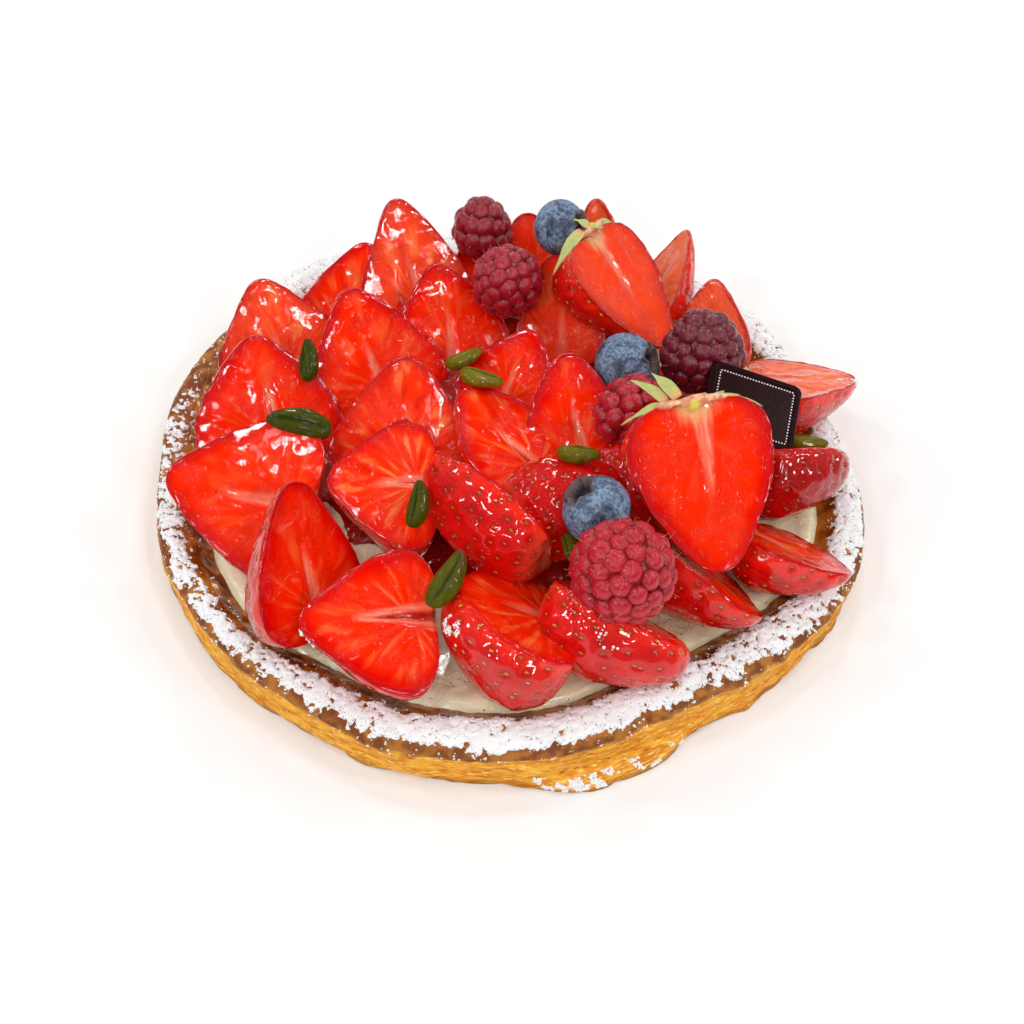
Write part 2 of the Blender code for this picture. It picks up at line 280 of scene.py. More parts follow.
def blended(share, first, second):
    """The first colour, and the second where share is 1: colours as paint takes them, or sockets."""
    first, second = (paint(*tone) if isinstance(tone, tuple) else tone for tone in (first, second))
    return node("Mix", {0: share, 6: first, 7: second}, data_type="RGBA").outputs[2]


def painted(colour, *layers):
    """A colour under layers: each is a share from 0 to 1 and the colour that it lays over."""
    for share, layer in layers:
        colour = blended(share, colour, layer)
    return colour


def bumped(height, depth):
    """The normal of a surface whose height values go from 0 to 1 over this depth in millimetres."""
    return node("Bump", {"Height": height, "Distance": depth * MM}).outputs["Normal"]


def new_finish(name, place=None, **constants):
    """Starts a material with the values that are the same all over. Places on the piece are in
    millimetres, from its own axes or from the vectors that its points hold under a name."""
    material = bpy.data.materials.new(name)
    material.use_nodes = True
    shader = material.node_tree.nodes["Principled BSDF"]
    under_way.update(tree=material.node_tree, shader=shader)
    for label, value in constants.items():
        shader.inputs[label.replace("_", " ").title().replace("Ior", "IOR")].default_value = value
    if place:
        under_way["place"] = value_of(place, "Vector")
    else:
        under_way["place"] = stretched(1 / MM, 1 / MM, 1 / MM, node("TexCoord").outputs["Object"])
    return material


def feed(**sockets):
    for label, socket in sockets.items():
        under_way["tree"].links.new(socket, under_way["shader"].inputs[label.replace("_", " ").title()])


def make_glaze_group():
    """The wet glaze at a place: how high it stands, from 0 to 1, and how thick and shiny it is. It is
    a soft film with ripples and threads in patches, and a bead that follows an edge near it."""
    tree = bpy.data.node_groups.new("wet_glaze", "ShaderNodeTree")
    for label, way, kind in (("Place", "INPUT", "Vector"), ("Edge Distance", "INPUT", "Float"),
                             ("Height", "OUTPUT", "Float"), ("Wet", "OUTPUT", "Float")):
        tree.interface.new_socket(label, in_out=way, socket_type="NodeSocket" + kind)
    given = tree.nodes.new("NodeGroupInput").outputs
    edge_distance = given["Edge Distance"]
    under_way.update(tree=tree, place=given["Place"])
    patch = step_up(mottle(8, 1), 0.43, 0.56)
    film = times(mottle(2.6, 1), scaled(patch, 0.6, 0.2))
    ripple = times(mottle(1.1, 1), scaled(patch, 0.28, 0.04))
    winding = figure("SUBTRACT", mottle(3.4, 0.5, 0.5, 1.2), 0.5)
    thread = times(step_up(figure("ABSOLUTE", winding), 0.07, 0.0), patch)
    wobble = scaled(mottle(2.4, 2), 2.8, -1.4)
    off_bead = figure("SUBTRACT", figure("ADD", edge_distance, wobble), 1.7)
    bead = step_up(figure("ABSOLUTE", off_bead), 0.45, 0.0)
    bead = times(bead, step_up(mottle(9, 0), 0.44, 0.52))
    height = scaled(thread, 0.2, figure("ADD", film, ripple))
    height = scaled(bead, 0.42, height)
    rounded = step_up(figure("ADD", edge_distance, times(wobble, 0.8)), 2.4, 1.2)
    wet = figure("MAXIMUM", times(rounded, 0.8), figure("MAXIMUM", thread, bead))
    wet = step_up(scaled(patch, 0.45, wet), 0.0, 1.0)
    taken = tree.nodes.new("NodeGroupOutput").inputs
    tree.links.new(height, taken["Height"])
    tree.links.new(wet, taken["Wet"])
    return tree


WET_GLAZE = make_glaze_group()
FAR_FROM_EDGE = 100.0


def glaze_here(edge_distance=FAR_FROM_EDGE):
    """The height of the glaze and how wet it is, on the finish being made."""
    inputs = {"Place": under_way["place"], "Edge Distance": edge_distance}
    return node("Group", inputs, node_tree=WET_GLAZE).outputs


def glaze_over(depth, edge_distance=FAR_FROM_EDGE, texture=None, coated=0.0):
    """Lays glaze of this depth in millimetres over a finish, and over its own fine relief if given.
    Where coated is above 0, the film is nowhere thinner than that."""
    glaze = glaze_here(edge_distance)
    height = glaze["Height"] if texture is None else figure("ADD", glaze["Height"], texture)
    feed(normal=bumped(height, depth), coat_weight=figure("MAXIMUM", glaze["Wet"], coated))


def make_crust_finish():
    """Golden layers on the wall, toasted brown on the rim, dark caramel on the inner slope."""
    material = new_finish("baked_crust", specular_ior_level=0.3)
    layers = mottle(6, 3, 0.6, at=stretched(1, 1, 6))
    fine_layers_and_highlights = mottle(2.2, 2, at=stretched(1, 1, 9))
    wall = blended(step_up(layers, 0.36, 0.62), (220, 130, 12), (250, 178, 46))
    # The fine layers give darker streaks and pale streaks; the pale ones are the paler flake edges with
    # painted highlights on them
    wall = painted(wall, (step_up(fine_layers_and_highlights, 0.56, 0.68), (255, 220, 118)),
                   (step_up(fine_layers_and_highlights, 0.38, 0.28), (160, 80, 8)))
    toast = blended(step_up(mottle(3.5, 4), 0.4, 0.65), (124, 62, 14), (180, 112, 40))
    caramel = blended(step_up(mottle(5, 3), 0.4, 0.62), (124, 56, 6), (186, 112, 32))
    level = figure("ADD", value_of("climb"), scaled(mottle(6, 3), 5.0, -2.5))
    shiny = step_up(level, 17.5, 20)
    colour = painted(wall, (step_up(level, 9.5, 11.2), toast),
                     (times(step_up(level, 2.2, 0.4), 0.6), (150, 84, 20)), (shiny, caramel))
    roughness = scaled(shiny, -0.45, 0.55)
    grain = scaled(mottle(0.7, 3), 0.6, layers)
    syrup = glaze_here()
    height = node("Mix", {0: shiny, 2: grain, 3: syrup["Height"]}).outputs[0]
    feed(base_color=colour, roughness=roughness, normal=bumped(height, 0.5),
         coat_weight=times(shiny, syrup["Wet"]))
    return material


def make_case():
    climb, angle = grid_round(CASE_STOPS, CASE_SEGMENTS)
    outside = case_point(climb, angle, crust_relief(climb, angle))
    angles = angle[:CASE_SEGMENTS]
    hidden = []
    for radius, height in (*CASE_FOOT, *CASE_INSIDE):
        radii, heights = hand_shaped(np.full(CASE_SEGMENTS, float(radius)), height, angles)
        hidden.append(round_about(radii, angles, heights))
    points = np.vstack([[(0, 0, 0)], *hidden[:2], outside, *hidden[2:], [(0, 0, CASE_FLOOR)]])
    unseen = 1 + 2 * CASE_SEGMENTS
    climbs = np.concatenate([np.zeros(unseen), climb, np.full(unseen, INSIDE_CLIMB)])
    add_piece("pastry_shell", points, turned_faces(len(CASE_STOPS) + 4, CASE_SEGMENTS),
              make_crust_finish(), "baked_pastry", ["pastry_case"], {"climb": climbs})


make_case()

# --------------------------------------
# The custard: vanilla custard spread into the case up to the slope and mounded in the middle. It
# is ivory with black specks of vanilla, and moist, with a lip where the palette knife left it.
# --------------------------------------
CUSTARD_MOUND = 8
LIP_RADIUS = 74.5
CUSTARD_REACH_DOWN = 2.6  # how far it goes on below the end of the slope, out of sight
CUSTARD_SEGMENTS = 320
CUSTARD_RINGS = 44


def custard_top(radius, angle):
    """The uneven top of the custard: x, y and z."""
    mound = CUSTARD_MOUND * (1 - np.minimum(1, radius / (0.8 * WELL_RADIUS)) ** 2)
    out, up = hand_shaped(radius, CUSTARD_EDGE_HEIGHT - 0.3 + mound, angle)
    flat = round_about(out, angle, 0)
    lip = np.exp(-((radius - LIP_RADIUS) / 2.2) ** 2) * (0.6 + 0.5 * lumps(flat, 14, 11))
    edge = eased(WELL_RADIUS - 0.2, WELL_RADIUS - 2.5, radius)
    swirls = 0.5 * lumps(flat, 7, 12) + 0.15 * lumps(flat, 2.5, 13)
    up = up + edge * swirls + 0.9 * lip - 1.4 * (1 - edge)
    return flat + up[:, None] * (0, 0, 1)


def make_custard_finish():
    material = new_finish("vanilla_custard", roughness=0.22, subsurface_weight=0.25,
                          subsurface_scale=0.002)
    cream = blended(mottle(9, 3), (255, 238, 190), (255, 251, 222))
    cells = node("TexVoronoi", {"Vector": under_way["place"], "Scale": 1 / 1.5, "Randomness": 1.0})
    speck = step_up(cells.outputs["Distance"], 0.17, 0.10)
    some = figure("GREATER_THAN", mottle(3.1, 1), 0.53)
    feed(base_color=blended(times(speck, some), cream, (60, 36, 18)))
    glaze_over(0.4)
    return material


def make_custard():
    radii = (WELL_RADIUS - 0.1) * (1 - 0.988 * np.linspace(0, 1, CUSTARD_RINGS) ** 1.6)
    radius, angle = grid_round(radii, CUSTARD_SEGMENTS)
    slope_end = np.full(CUSTARD_SEGMENTS, CASE_STOPS[-1])
    foot = case_point(slope_end, angle[:CUSTARD_SEGMENTS]) - (0, 0, CUSTARD_REACH_DOWN)
    middle = custard_top(np.zeros(1), np.zeros(1))
    top = custard_top(radius, angle)
    points = np.vstack([[(0, 0, CASE_FLOOR + 0.1)], foot * (0.99, 0.99, 1), top, middle])
    add_piece("custard_filling", points, turned_faces(CUSTARD_RINGS + 1, CUSTARD_SEGMENTS),
              make_custard_finish(), "vanilla_custard", ["custard"])


make_custard()

# --------------------------------------
# The shade between the fruit: a dark red, glossy sheet over the custard in the middle, glazed like
# the fruit. It is painted shade, standing in for the deep shade and the hidden red sides of the pieces in
# the gaps between them.
# --------------------------------------
SHADE_SHEET_RADIUS = 56
SHADE_SHEET_SEGMENTS = 180
SHADE_SHEET_RINGS = 26
SHADE_SHEET_RISE = 3.2  # how much higher it stands in the middle than at its edge
SHADE_SHEET_EDGE_SINK = 1.2


def make_gap_shade_finish():
    material = new_finish("painted_gap_shade", roughness=0.08, subsurface_weight=0.3, subsurface_scale=0.002)
    # Dark red, glossy as glaze: painted shade for the gaps between the fruit
    feed(base_color=blended(mottle(8, 2), (120, 6, 4), (188, 24, 10)))
    glaze_over(0.6)
    return material


def make_gap_shade_sheet():
    shares, angle = grid_round(np.linspace(1, 0.02, SHADE_SHEET_RINGS), SHADE_SHEET_SEGMENTS)
    radius = shares * SHADE_SHEET_RADIUS * (1 + 0.12 * lumps(round_about(1, angle, 0), 0.5, 21))
    top = custard_top(radius, angle)
    top[:, 2] += SHADE_SHEET_RISE * eased(1, 0.72, shares) - SHADE_SHEET_EDGE_SINK + 0.8 * lumps(top, 6, 22)
    low = top[:SHADE_SHEET_SEGMENTS] - (0, 0, 1)
    middle = custard_top(np.zeros(1), np.zeros(1)) + (0, 0, SHADE_SHEET_RISE - SHADE_SHEET_EDGE_SINK)
    points = np.vstack([[(0, 0, 12)], low, top, middle])
    add_piece("gap_shade_sheet", points, turned_faces(SHADE_SHEET_RINGS + 1, SHADE_SHEET_SEGMENTS), make_gap_shade_finish(),
              "strawberry_flesh")


make_gap_shade_sheet()

# --------------------------------------
# The strawberries: hulled, cut lengthwise and laid up like roof tiles, some on their backs and
# some skin up. The cut flesh is orange red with pale veins fanning out from the core, the skin is
# crimson and dimpled round each seed, and all of it is wet with glaze.
# --------------------------------------
STRAWBERRY_SHAPES = {  # taper, depth for the width, and how far the cut lies above the axis
    "heart": (0.58, 0.42, 0), "cone": (0.45, 0.46, 0),
    "plump": (0.35, 0.44, 0.3), "blunt": (0.12, 0.50, 0),
}
# Each piece: shape, middle of the cut face (x, y, z), heading of the tip, lean of the tip above the
# horizontal, turn about the axis, length, width; then how deep the hollow of the core is, how
# strong the veins are, and how pale the flesh is (below 0: how dark)
STRAWBERRIES = [
    ("cone", 43, -35, 41, -71, -41, 0, 39, 34, 0.8, 0.12, 0.05),
    ("cone", 27, 35, 38, -40, -35, -15, 36, 35, 0.6, 0.15, 0.3),
    ("plump", 3, -61, 26, 185, 25, 20, 28, 36, 0.8, 0.6, 0),
    ("heart", -27, -66, 25, 190, 5, -10, 30, 34, 1.6, 0.5, 0),
    ("cone", -42, -54, 27, 110, 42, 37, 36, 30, 0.9, 0.3, -0.3),
    ("heart", -61, -33, 25, 175, 5, -32, 36, 38, 1.2, 0.25, 0.1),
    ("plump", 27, -58, 23, -30, 0, -50, 34, 31, 0.6, 0.4, 0),
    ("cone", 46, -44, 22, -49, 0, -45, 32, 32, 0.5, 0.5, -0.15),
    ("cone", 67, -35, 21, -32, 5, -35, 27, 28, 0.5, 0.6, 0),
    ("blunt", -3, -36, 29, 142, 5, 75, 37, 27, 0.3, 0.3, 0),
    ("heart", -29, -29, 27, 187, 5, -5, 26, 38, 1.3, 0.9, 0.1),
    ("cone", -1, -12, 28, 138, 15, 12, 33, 33, 1.4, 0.8, 0),
    ("plump", 68, -7, 24, 10, 0, -52, 28, 28, 0.4, 0.5, -0.5),
    ("cone", 75, 24, 21, 0, 5, -25, 28, 34, 0.5, 0.9, 0.6),
    ("heart", -27, -10, 28, 90, 42, 0, 32, 35, 1.0, 0.9, 0.15),
    ("heart", -62, -3, 25, 108, 42, 0, 32, 37, 1.4, 0.25, 0),
    ("cone", 14, -6, 30, 106, 42, -20, 31, 25, 0.9, 0.4, 0),
    ("heart", -38, 15, 27, 123, 42, 0, 34, 37, 0.8, 0.35, 0),
    ("heart", -63, 20, 25, 120, 42, 0, 32, 36, 0.8, 0.8, 0.3),
    ("heart", -1, 10, 27, 70, 42, 0, 25, 28, 0.6, 0.5, 0.05),
    ("heart", -20, 30, 27, 112, 42, 0, 30, 32, 0.6, 0.4, 0.05),
    ("cone", 9, 32, 30, 98, 45, -30, 31, 25, 0.5, 0.5, 0.2),
    ("heart", -46, 41, 23, 80, 42, 0, 31, 32, 0.8, 0.6, 0.05),
    ("heart", -31, 48, 29, 115, 42, 0, 39, 32, 0.8, 0.7, 0.3),
    ("heart", 51, 41, 22, 88, 40, -30, 27, 25, 0.4, 0.5, 0.5),
    ("heart", 39, 60, 24, 55, 50, -40, 28, 25, 0.4, 0.5, 0.8),
    ("cone", 20, 67, 25, 103, 50, -40, 30, 18, 0.4, 0.5, 0.5),
    ("cone", 1, 60, 24, 103, 50, 0, 29, 24, 0.4, 0.5, 0.2),
    ("plump", 15, -29, 21, 25, 5, 180, 32, 26, 0.3, 0.3, 0),
    ("plump", 31, -22, 22, -60, 0, 180, 26, 22, 0.3, 0.3, 0),
    ("cone", -12, 53, 25, 118, 20, 0, 22, 22, 0.3, 0.3, 0),
    ("cone", 27, 46, 21, -128, 0, 0, 22, 22, 0.3, 0.3, 0),
    ("cone", 45, -14, 26, -93, 0, 0, 30, 24, 0.3, 0.3, 0),
    ("cone", 37, 14, 18, 34, 0, 180, 26, 22, 0.3, 0.3, 0),
    ("cone", 57, 19, 19, 6, 0, 0, 22, 22, 0.3, 0.3, 0),
]
HIDDEN_FROM = 31  # from this one on they lie under the others
LEAFY = (1, 2)
BERRY_RINGS = 66
BERRY_SEGMENTS = 104
RIM_ROUNDING = 2.2
TIP_BLUNTNESS = 0.75
SEED_SPACING = 3.7
DIMPLE_DEPTH = 0.38
DIMPLE_RADIUS = 0.95
POLE = 0.004  # how far from the very ends the surface starts, in radians
seed_places = []  # each seed's middle, outward and tipward directions and berry


def ball_grid(rings, segments, pole=0.0):
    """Angles from the tip and about X, for a first pole, even rings and a last pole."""
    polar, around = grid_round(np.linspace(0, math.pi, rings + 2)[1:-1], segments)
    return np.concatenate([[pole], polar, [math.pi - pole]]), np.concatenate([[0], around, [0]])


def turned_to(heading, lean, turn=0):
    """The turn that points a piece along a heading, with its tip raised by the lean."""
    return Euler([math.radians(angle) for angle in (turn, -lean, heading)]).to_matrix()


def make_each(make, rows, finish):
    for number, row in enumerate(rows, 1):
        make(number, finish, *row)


def soft_least(first, second, rounding):
    """The smaller of two values, with the corner where they meet rounded off."""
    near = np.maximum(rounding - np.abs(first - second), 0) / rounding
    return np.minimum(first, second) - near * near * rounding / 4


class Berry:
    """The surface of one cut strawberry, by polar angle from the tip and angle about the axis."""

    def __init__(self, number, shape, length, width, hollow):
        taper, depth_share, cut_share = STRAWBERRY_SHAPES[shape]
        self.number, self.length, self.width = number, length, width
        self.hollow, self.taper = hollow, taper
        self.half_depth = depth_share * width
        self.cut = cut_share * self.half_depth
        self.widest = 1
        self.widest = self.swell(np.linspace(0, math.pi, 200)).max()

    def swell(self, polar):
        """How wide the berry is at this polar angle, as a share of its greatest width."""
        return np.abs(np.sin(polar)) ** TIP_BLUNTNESS * (1 - self.taper * np.cos(polar)) / self.widest

    def half_width(self, along):
        """Half the width of the whole berry at this share of its half-length."""
        return self.swell(np.arccos(along)) * self.width / 2

    def core_hollow(self, x, y):
        """How deep the hollow left by the core is, as a share, at a place on the cut face."""
        from_stem = x / self.length + 0.5
        line = y - 1.2 * np.sin(from_stem * 3 + self.number)
        breadth = 1.1 + 1.4 * eased(0.45, 0, from_stem)
        return np.exp(-(line / breadth) ** 2) * eased(0.72, 0.35, from_stem)

    def at(self, polar, around):
        """x, y and z of points on the surface, and how far above the cut they would have been."""
        along = np.cos(polar)
        swell = self.swell(polar)
        ball = np.column_stack([along, swell * np.cos(around), swell * np.sin(around)])
        uneven = 1 + 0.05 * lumps(ball, 0.6, self.number) + 0.028 * lumps(ball, 0.2, self.number + 50)
        x = along * self.length / 2 + 0.07 * self.length * np.exp(-((swell / 0.42) ** 2)) * (along < 0)
        y = swell * np.cos(around) * self.width / 2 * uneven
        whole = swell * np.sin(around) * self.half_depth * uneven
        z = soft_least(whole, np.full_like(whole, self.cut), RIM_ROUNDING)
        place = np.column_stack([x, y, np.full_like(x, 7.0 * self.number)])
        on_cut = eased(0, 1.2, whole - self.cut)
        relief = 0.22 * lumps(place, 5, 31) + 0.08 * lumps(place, 1.8, 32)
        relief = relief - self.hollow * self.core_hollow(x, y)
        beads = np.exp(-(((whole - self.cut - 1.6) / 0.9) ** 2)) * (1 + lumps(place, 2.2, 33))
        relief = relief + 0.22 * beads
        return np.column_stack([x, y, z - self.cut + relief * on_cut]), whole - self.cut

    def normals(self, polar, around):
        small = 0.01
        here = self.at(polar, around)[0]
        down = self.at(polar + small, around)[0] - here
        across = self.at(polar, around + small)[0] - here
        normal = np.cross(across, down)
        return -normal / np.maximum(1e-9, np.linalg.norm(normal, axis=1))[:, None]

    def seeds(self):
        """Places of the seeds on the skin, in staggered rows."""
        chance = np.random.default_rng(900 + self.number)
        rows = round(1.25 * self.length / SEED_SPACING)
        places = []
        for row in range(1, rows):
            polar = math.pi * (0.04 + 0.9 * row / rows)
            girth = math.tau * self.swell(polar) * (self.width / 2 + self.half_depth) / 2
            count = max(3, round(girth / SEED_SPACING))
            for step in range(count):
                around = math.tau * (step + row % 2 / 2) / count
                places.append((polar, around))
        places = np.array(places) + chance.normal(0, 0.06, (len(places), 2))
        above = self.at(places[:, 0], places[:, 1])[1]
        return places[above < 0.15]


def make_strawberry_finish():
    material = new_finish("glazed_strawberry", "flesh", roughness=0.09, subsurface_weight=0.3,
                          subsurface_scale=0.002, subsurface_radius=(1.0, 0.2, 0.1),
                          specular_ior_level=0.08, coat_roughness=0.05)
    cut, edge = value_of("cut"), value_of("rim")
    across = node("SeparateXYZ", {0: under_way["place"]}).outputs
    turn = figure("ARCTAN2", across["Y"], across["X"])
    from_core = node("VectorMath", {0: stretched(1, 1, 0)}, operation="LENGTH").outputs["Value"]
    fan = {"X": times(turn, 5.5), "Y": times(from_core, 0.1), "Z": across["Z"]}
    veins = mottle(1.0, 2, 0.5, 0.3, at=node("CombineXYZ", fan).outputs[0])
    middle = times(step_up(edge, 0.8, 6), times(value_of("veined"), 0.85))
    middle = times(middle, step_up(from_core, 0.5, 5))
    inward = scaled(step_up(edge, 0.5, 7.5), 0.7, -0.15)
    ripe = scaled(mottle(7, 3, 0.55), 0.7, inward)
    body = blended(step_up(ripe, 0.1, 0.9), (222, 0, 0), (253, 40, 0))
    pale = value_of("pale")
    light_veins = times(step_up(veins, 0.48, 0.74), middle)
    dark_veins = times(step_up(veins, 0.46, 0.30), middle)
    hollow = value_of("hollow")
    walls = times(step_up(hollow, 0.04, 0.45), step_up(hollow, 0.95, 0.55))
    fibres = step_up(mottle(1.1, 2, at=stretched(0.16, 1, 1)), 0.40, 0.66)
    ragged = scaled(mottle(1.6, 2), 1.6, -0.8)
    line = step_up(figure("ADD", edge, ragged), 1.6, 0.5)
    body = painted(
        body, (step_up(pale, 0, 1), (252, 124, 76)), (step_up(pale, 0, -1), (204, 0, 4)),
        (light_veins, (255, 140, 72)), (times(dark_veins, 0.55), (190, 2, 0)),
        (times(walls, scaled(fibres, 0.45, 0.42)), (255, 158, 128)),
        # The deepest part of the core hollow is painted dark red: painted shade in the groove
        (times(step_up(hollow, 0.6, 0.95), 0.75), (150, 2, 2)), (times(line, 0.8), (184, 0, 8)),
    )
    skin = painted(
        blended(mottle(6, 3), (176, 2, 8), (246, 24, 14)),
        (step_up(value_of("depth"), 5.5, 0.5), (242, 36, 12)), (step_up(pale, 0, -1), (120, 0, 8)),
        (times(step_up(value_of("along"), -0.72, -1.0), 0.45), (240, 120, 84)),
        # Each seed dimple is painted darker red: painted shade in the dimples
        (times(value_of("dimple"), 0.55), (118, 0, 4)),
    )
    stem = scaled(fibres, 0.14, figure("SUBTRACT", value_of("stem"), 0.07))
    feed(base_color=painted(skin, (cut, body), (step_up(stem, 0.1, 1.0), (248, 190, 132))))
    on_skin = figure("SUBTRACT", 1.0, cut)
    pores = times(mottle(0.9, 2), times(on_skin, 0.4))
    glaze_over(0.5, edge, pores, times(on_skin, 0.6))
    return material


def make_strawberry(number, material, shape, x, y, z, heading, lean, turn, length, width,
                    hollow, veined, pale):
    berry = Berry(number, shape, length, width, hollow)
    hidden = number >= HIDDEN_FROM
    share = 0.5 if hidden else 1
    rings, segments = round(BERRY_RINGS * share), round(BERRY_SEGMENTS * share)
    polar, around = ball_grid(rings, segments, POLE)
    points, above = berry.at(polar, around)
    normals = berry.normals(polar, around)
    seeds = berry.seeds()
    seed_points = berry.at(*seeds.T)[0]
    seed_normals = berry.normals(*seeds.T)
    gaps = np.sqrt(((points[:, None] - seed_points[None]) ** 2).sum(2)).min(1)
    dimple = np.exp(-((gaps / DIMPLE_RADIUS) ** 2)) * eased(0.9, 0.1, above)
    points = points - normals * (DIMPLE_DEPTH * dimple)[:, None]
    turned = np.array(turned_to(heading, lean, turn))
    for place, outward in zip(seed_points - seed_normals * (DIMPLE_DEPTH - 0.1), seed_normals):
        if not hidden:
            seed_places.append((turned @ place + (x, y, z), turned @ outward, turned @ (1, 0, 0), number))
    along = 2 * points[:, 0] / length
    to_side = berry.half_width(np.clip(along, -1, 1)) - np.abs(points[:, 1])
    to_end = (1 - np.abs(along)) * length / 2
    from_stem = np.linalg.norm(points - (-0.47 * length, 0, 0), axis=1)
    stem_reach, stem_strength = (5.0, 1.0) if number in LEAFY else (3.2, 0.55)
    on_cut = eased(-0.15, 0.35, above)
    values = {
        "flesh": points + (0.3 * length, 0, 40.0 * number),
        "cut": on_cut,
        "rim": np.minimum(to_side, 1.6 * to_end),
        "along": along,
        "hollow": hollow / 1.6 * berry.core_hollow(points[:, 0], points[:, 1]) * on_cut,
        "dimple": dimple,
        "depth": -above,
        "veined": np.full(len(points), veined),
        "pale": np.full(len(points), pale),
        "stem": stem_strength * np.exp(-((from_stem / stem_reach) ** 2)),
    }
    add_piece(f"strawberry_piece_{number:02d}", points @ turned.T + (x, y, z),
              turned_faces(rings, segments), material, "strawberry_flesh",
              [f"strawberry_{number:02d}"], values)


make_each(make_strawberry, STRAWBERRIES, make_strawberry_finish())

# --------------------------------------
# The strawberry seeds: small yellow drops, one in each dimple of the skin, lying with the point
# towards the stem.
# --------------------------------------
SEED_LENGTH = 1.25
SEED_WIDTH = 0.7
SEED_THICKNESS = 0.45
DARK_SEEDED = (10, 13)  # strawberries whose seeds are as red as the skin


def ball_points(polar, around):
    """Points of a ball of radius 1 with its poles on X."""
    return round_about(np.sin(polar), around, np.cos(polar))[:, [2, 0, 1]]


def ball_mesh(rings, segments):
    return ball_points(*ball_grid(rings, segments)), turned_faces(rings, segments)


def joined(shapes):
    """The points and faces of several shapes as one mesh."""
    points, faces, start = [], [], 0
    for shape_points, shape_faces in shapes:
        points.append(shape_points)
        faces += [[corner + start for corner in face] for face in shape_faces]
        start += len(shape_points)
    return np.vstack(points), faces


def many(shape, frames):
    """Copies of one shape joined into one mesh: each frame is a middle and a 3x3 matrix."""
    points, faces = shape
    return joined((points @ np.asarray(turned).T + middle, faces) for middle, turned in frames)


def unit(vector):
    return np.asarray(vector) / max(1e-9, np.linalg.norm(vector))


def lying(outward, along):
    """The turn that lays a shape's X along a direction and its Z outward."""
    outward = unit(outward)
    along = unit(along - outward * (along @ outward))
    return np.column_stack([along, np.cross(outward, along), outward])


def make_seeds():
    chance = np.random.default_rng(5)
    drop, faces = ball_mesh(2, 6)
    drop[:, 1:] *= 1 + 0.35 * drop[:, :1]
    frames, tones = [], []
    for middle, outward, tipward, number in seed_places:
        size = chance.uniform(0.7, 1.1)
        sizes = np.diag([SEED_LENGTH / 2, SEED_WIDTH / 2, SEED_THICKNESS / 2]) * size
        frames.append((middle, lying(outward, tipward) @ sizes))
        tones.append(between(chance.uniform() ** 1.1, 1, 0.75 * (number in DARK_SEEDED)))
    material = new_finish("seed_skin", roughness=0.2)
    colour = blended(value_of("tone"), (232, 152, 48), (150, 22, 8))
    feed(base_color=blended(times(mottle(0.8), 0.45), colour, (224, 140, 50)))
    add_piece("strawberry_seeds", *many((drop, faces), frames), material, "strawberry_flesh",
              values={"tone": np.repeat(tones, len(drop))})


make_seeds()

# --------------------------------------
# The leaves of the two topmost strawberries: half of each was left with its calyx. The narrow
# sepals are pale green with tan tips, and rise from a cream collar round a yellow stub of the stem.
# --------------------------------------
# Each sepal: where it starts, where it ends (x, y, z), its width, and how far it arches up
SEPALS = [
    ((32.5, -22, 52), (24.5, -17.7, 53.8), 3.4, 0.6),
    ((35, -20.6, 52), (29.1, -15.2, 54.2), 4.0, 0.3),
    ((33.5, -23, 51.8), (23.1, -26.6, 48.5), 2.6, 1.4),
    ((44.5, -19, 51.2), (54.8, -17.3, 48.5), 1.9, 1.2),
    ((43.5, -19.4, 51.6), (49.2, -17.9, 51.8), 1.8, 0.6),
    ((43.2, -19.4, 51.6), (45.7, -16.8, 51.8), 1.8, 0.3),
    ((13.6, 41.5, 49.6), (6.7, 29.1, 44.5), 3.4, 1.6),
    ((17, 44.5, 49.4), (21.6, 47.8, 48.6), 2.6, 0.8),
    ((15, 43, 49.8), (11, 45, 50.5), 2.8, 0.5),
    ((14.6, 42.5, 49.6), (19, 43, 50), 2.2, 0.6),
]
# Each collar: its middle, which way it faces, and half its width and depth
COLLARS = [
    ((38, -21.6, 52.6), (-0.25, 0.72, 0.66), 8.8, 2.3),
    ((15.9, 43.8, 48.6), (-0.62, 0.55, 0.57), 4.6, 2.6),
]
STEM_STUBS = [((38.3, -23.0, 52.9), 1.4), ((16, 43.9, 49.2), 1.3)]
SEPAL_STATIONS = 14
SEPAL_SIDES = 10
SEPAL_THICKNESS = 0.32
COLLAR_THICKNESS = 2.2


def tube_faces(stations, sides):
    """Faces along a tube with flat ends, whose points go round it at each station."""
    faces = [list(range(sides)), [(stations - 1) * sides + side for side in reversed(range(sides))]]
    for low in range(0, (stations - 1) * sides, sides):
        for side in range(sides):
            after = (side + 1) % sides
            faces.append([low + side, low + sides + side, low + sides + after, low + after])
    return faces


def make_sepal(start, end, width, arch):
    """A narrow pointed blade, folded a little along its rib: points and faces."""
    start, end = np.array(start, float), np.array(end, float)
    points = []
    for share in np.linspace(0, 1, SEPAL_STATIONS):
        centre = start + (end - start) * share + np.array([0, 0, 4 * arch * share * (1 - share)])
        ahead = (end - start) + np.array([0, 0, 4 * arch * (1 - 2 * share)])
        side = unit(np.cross(ahead, (0, 0, 1)))
        over = unit(np.cross(side, ahead))
        swell = math.sin(math.pi * min(1, 0.25 + share) ** 1.3)
        breadth = width / 2 * (0.35 + 0.65 * swell) * (1 - share**6)
        for step in range(SEPAL_SIDES):
            angle = math.tau * step / SEPAL_SIDES
            out, thick = math.cos(angle) * breadth, math.sin(angle) * SEPAL_THICKNESS / 2
            wave = 0.18 * math.sin(9 * share + 2 * width) * math.cos(angle)
            points.append(centre + side * out + over * (thick + 0.35 * abs(out) + wave))
    return np.array(points), tube_faces(SEPAL_STATIONS, SEPAL_SIDES)


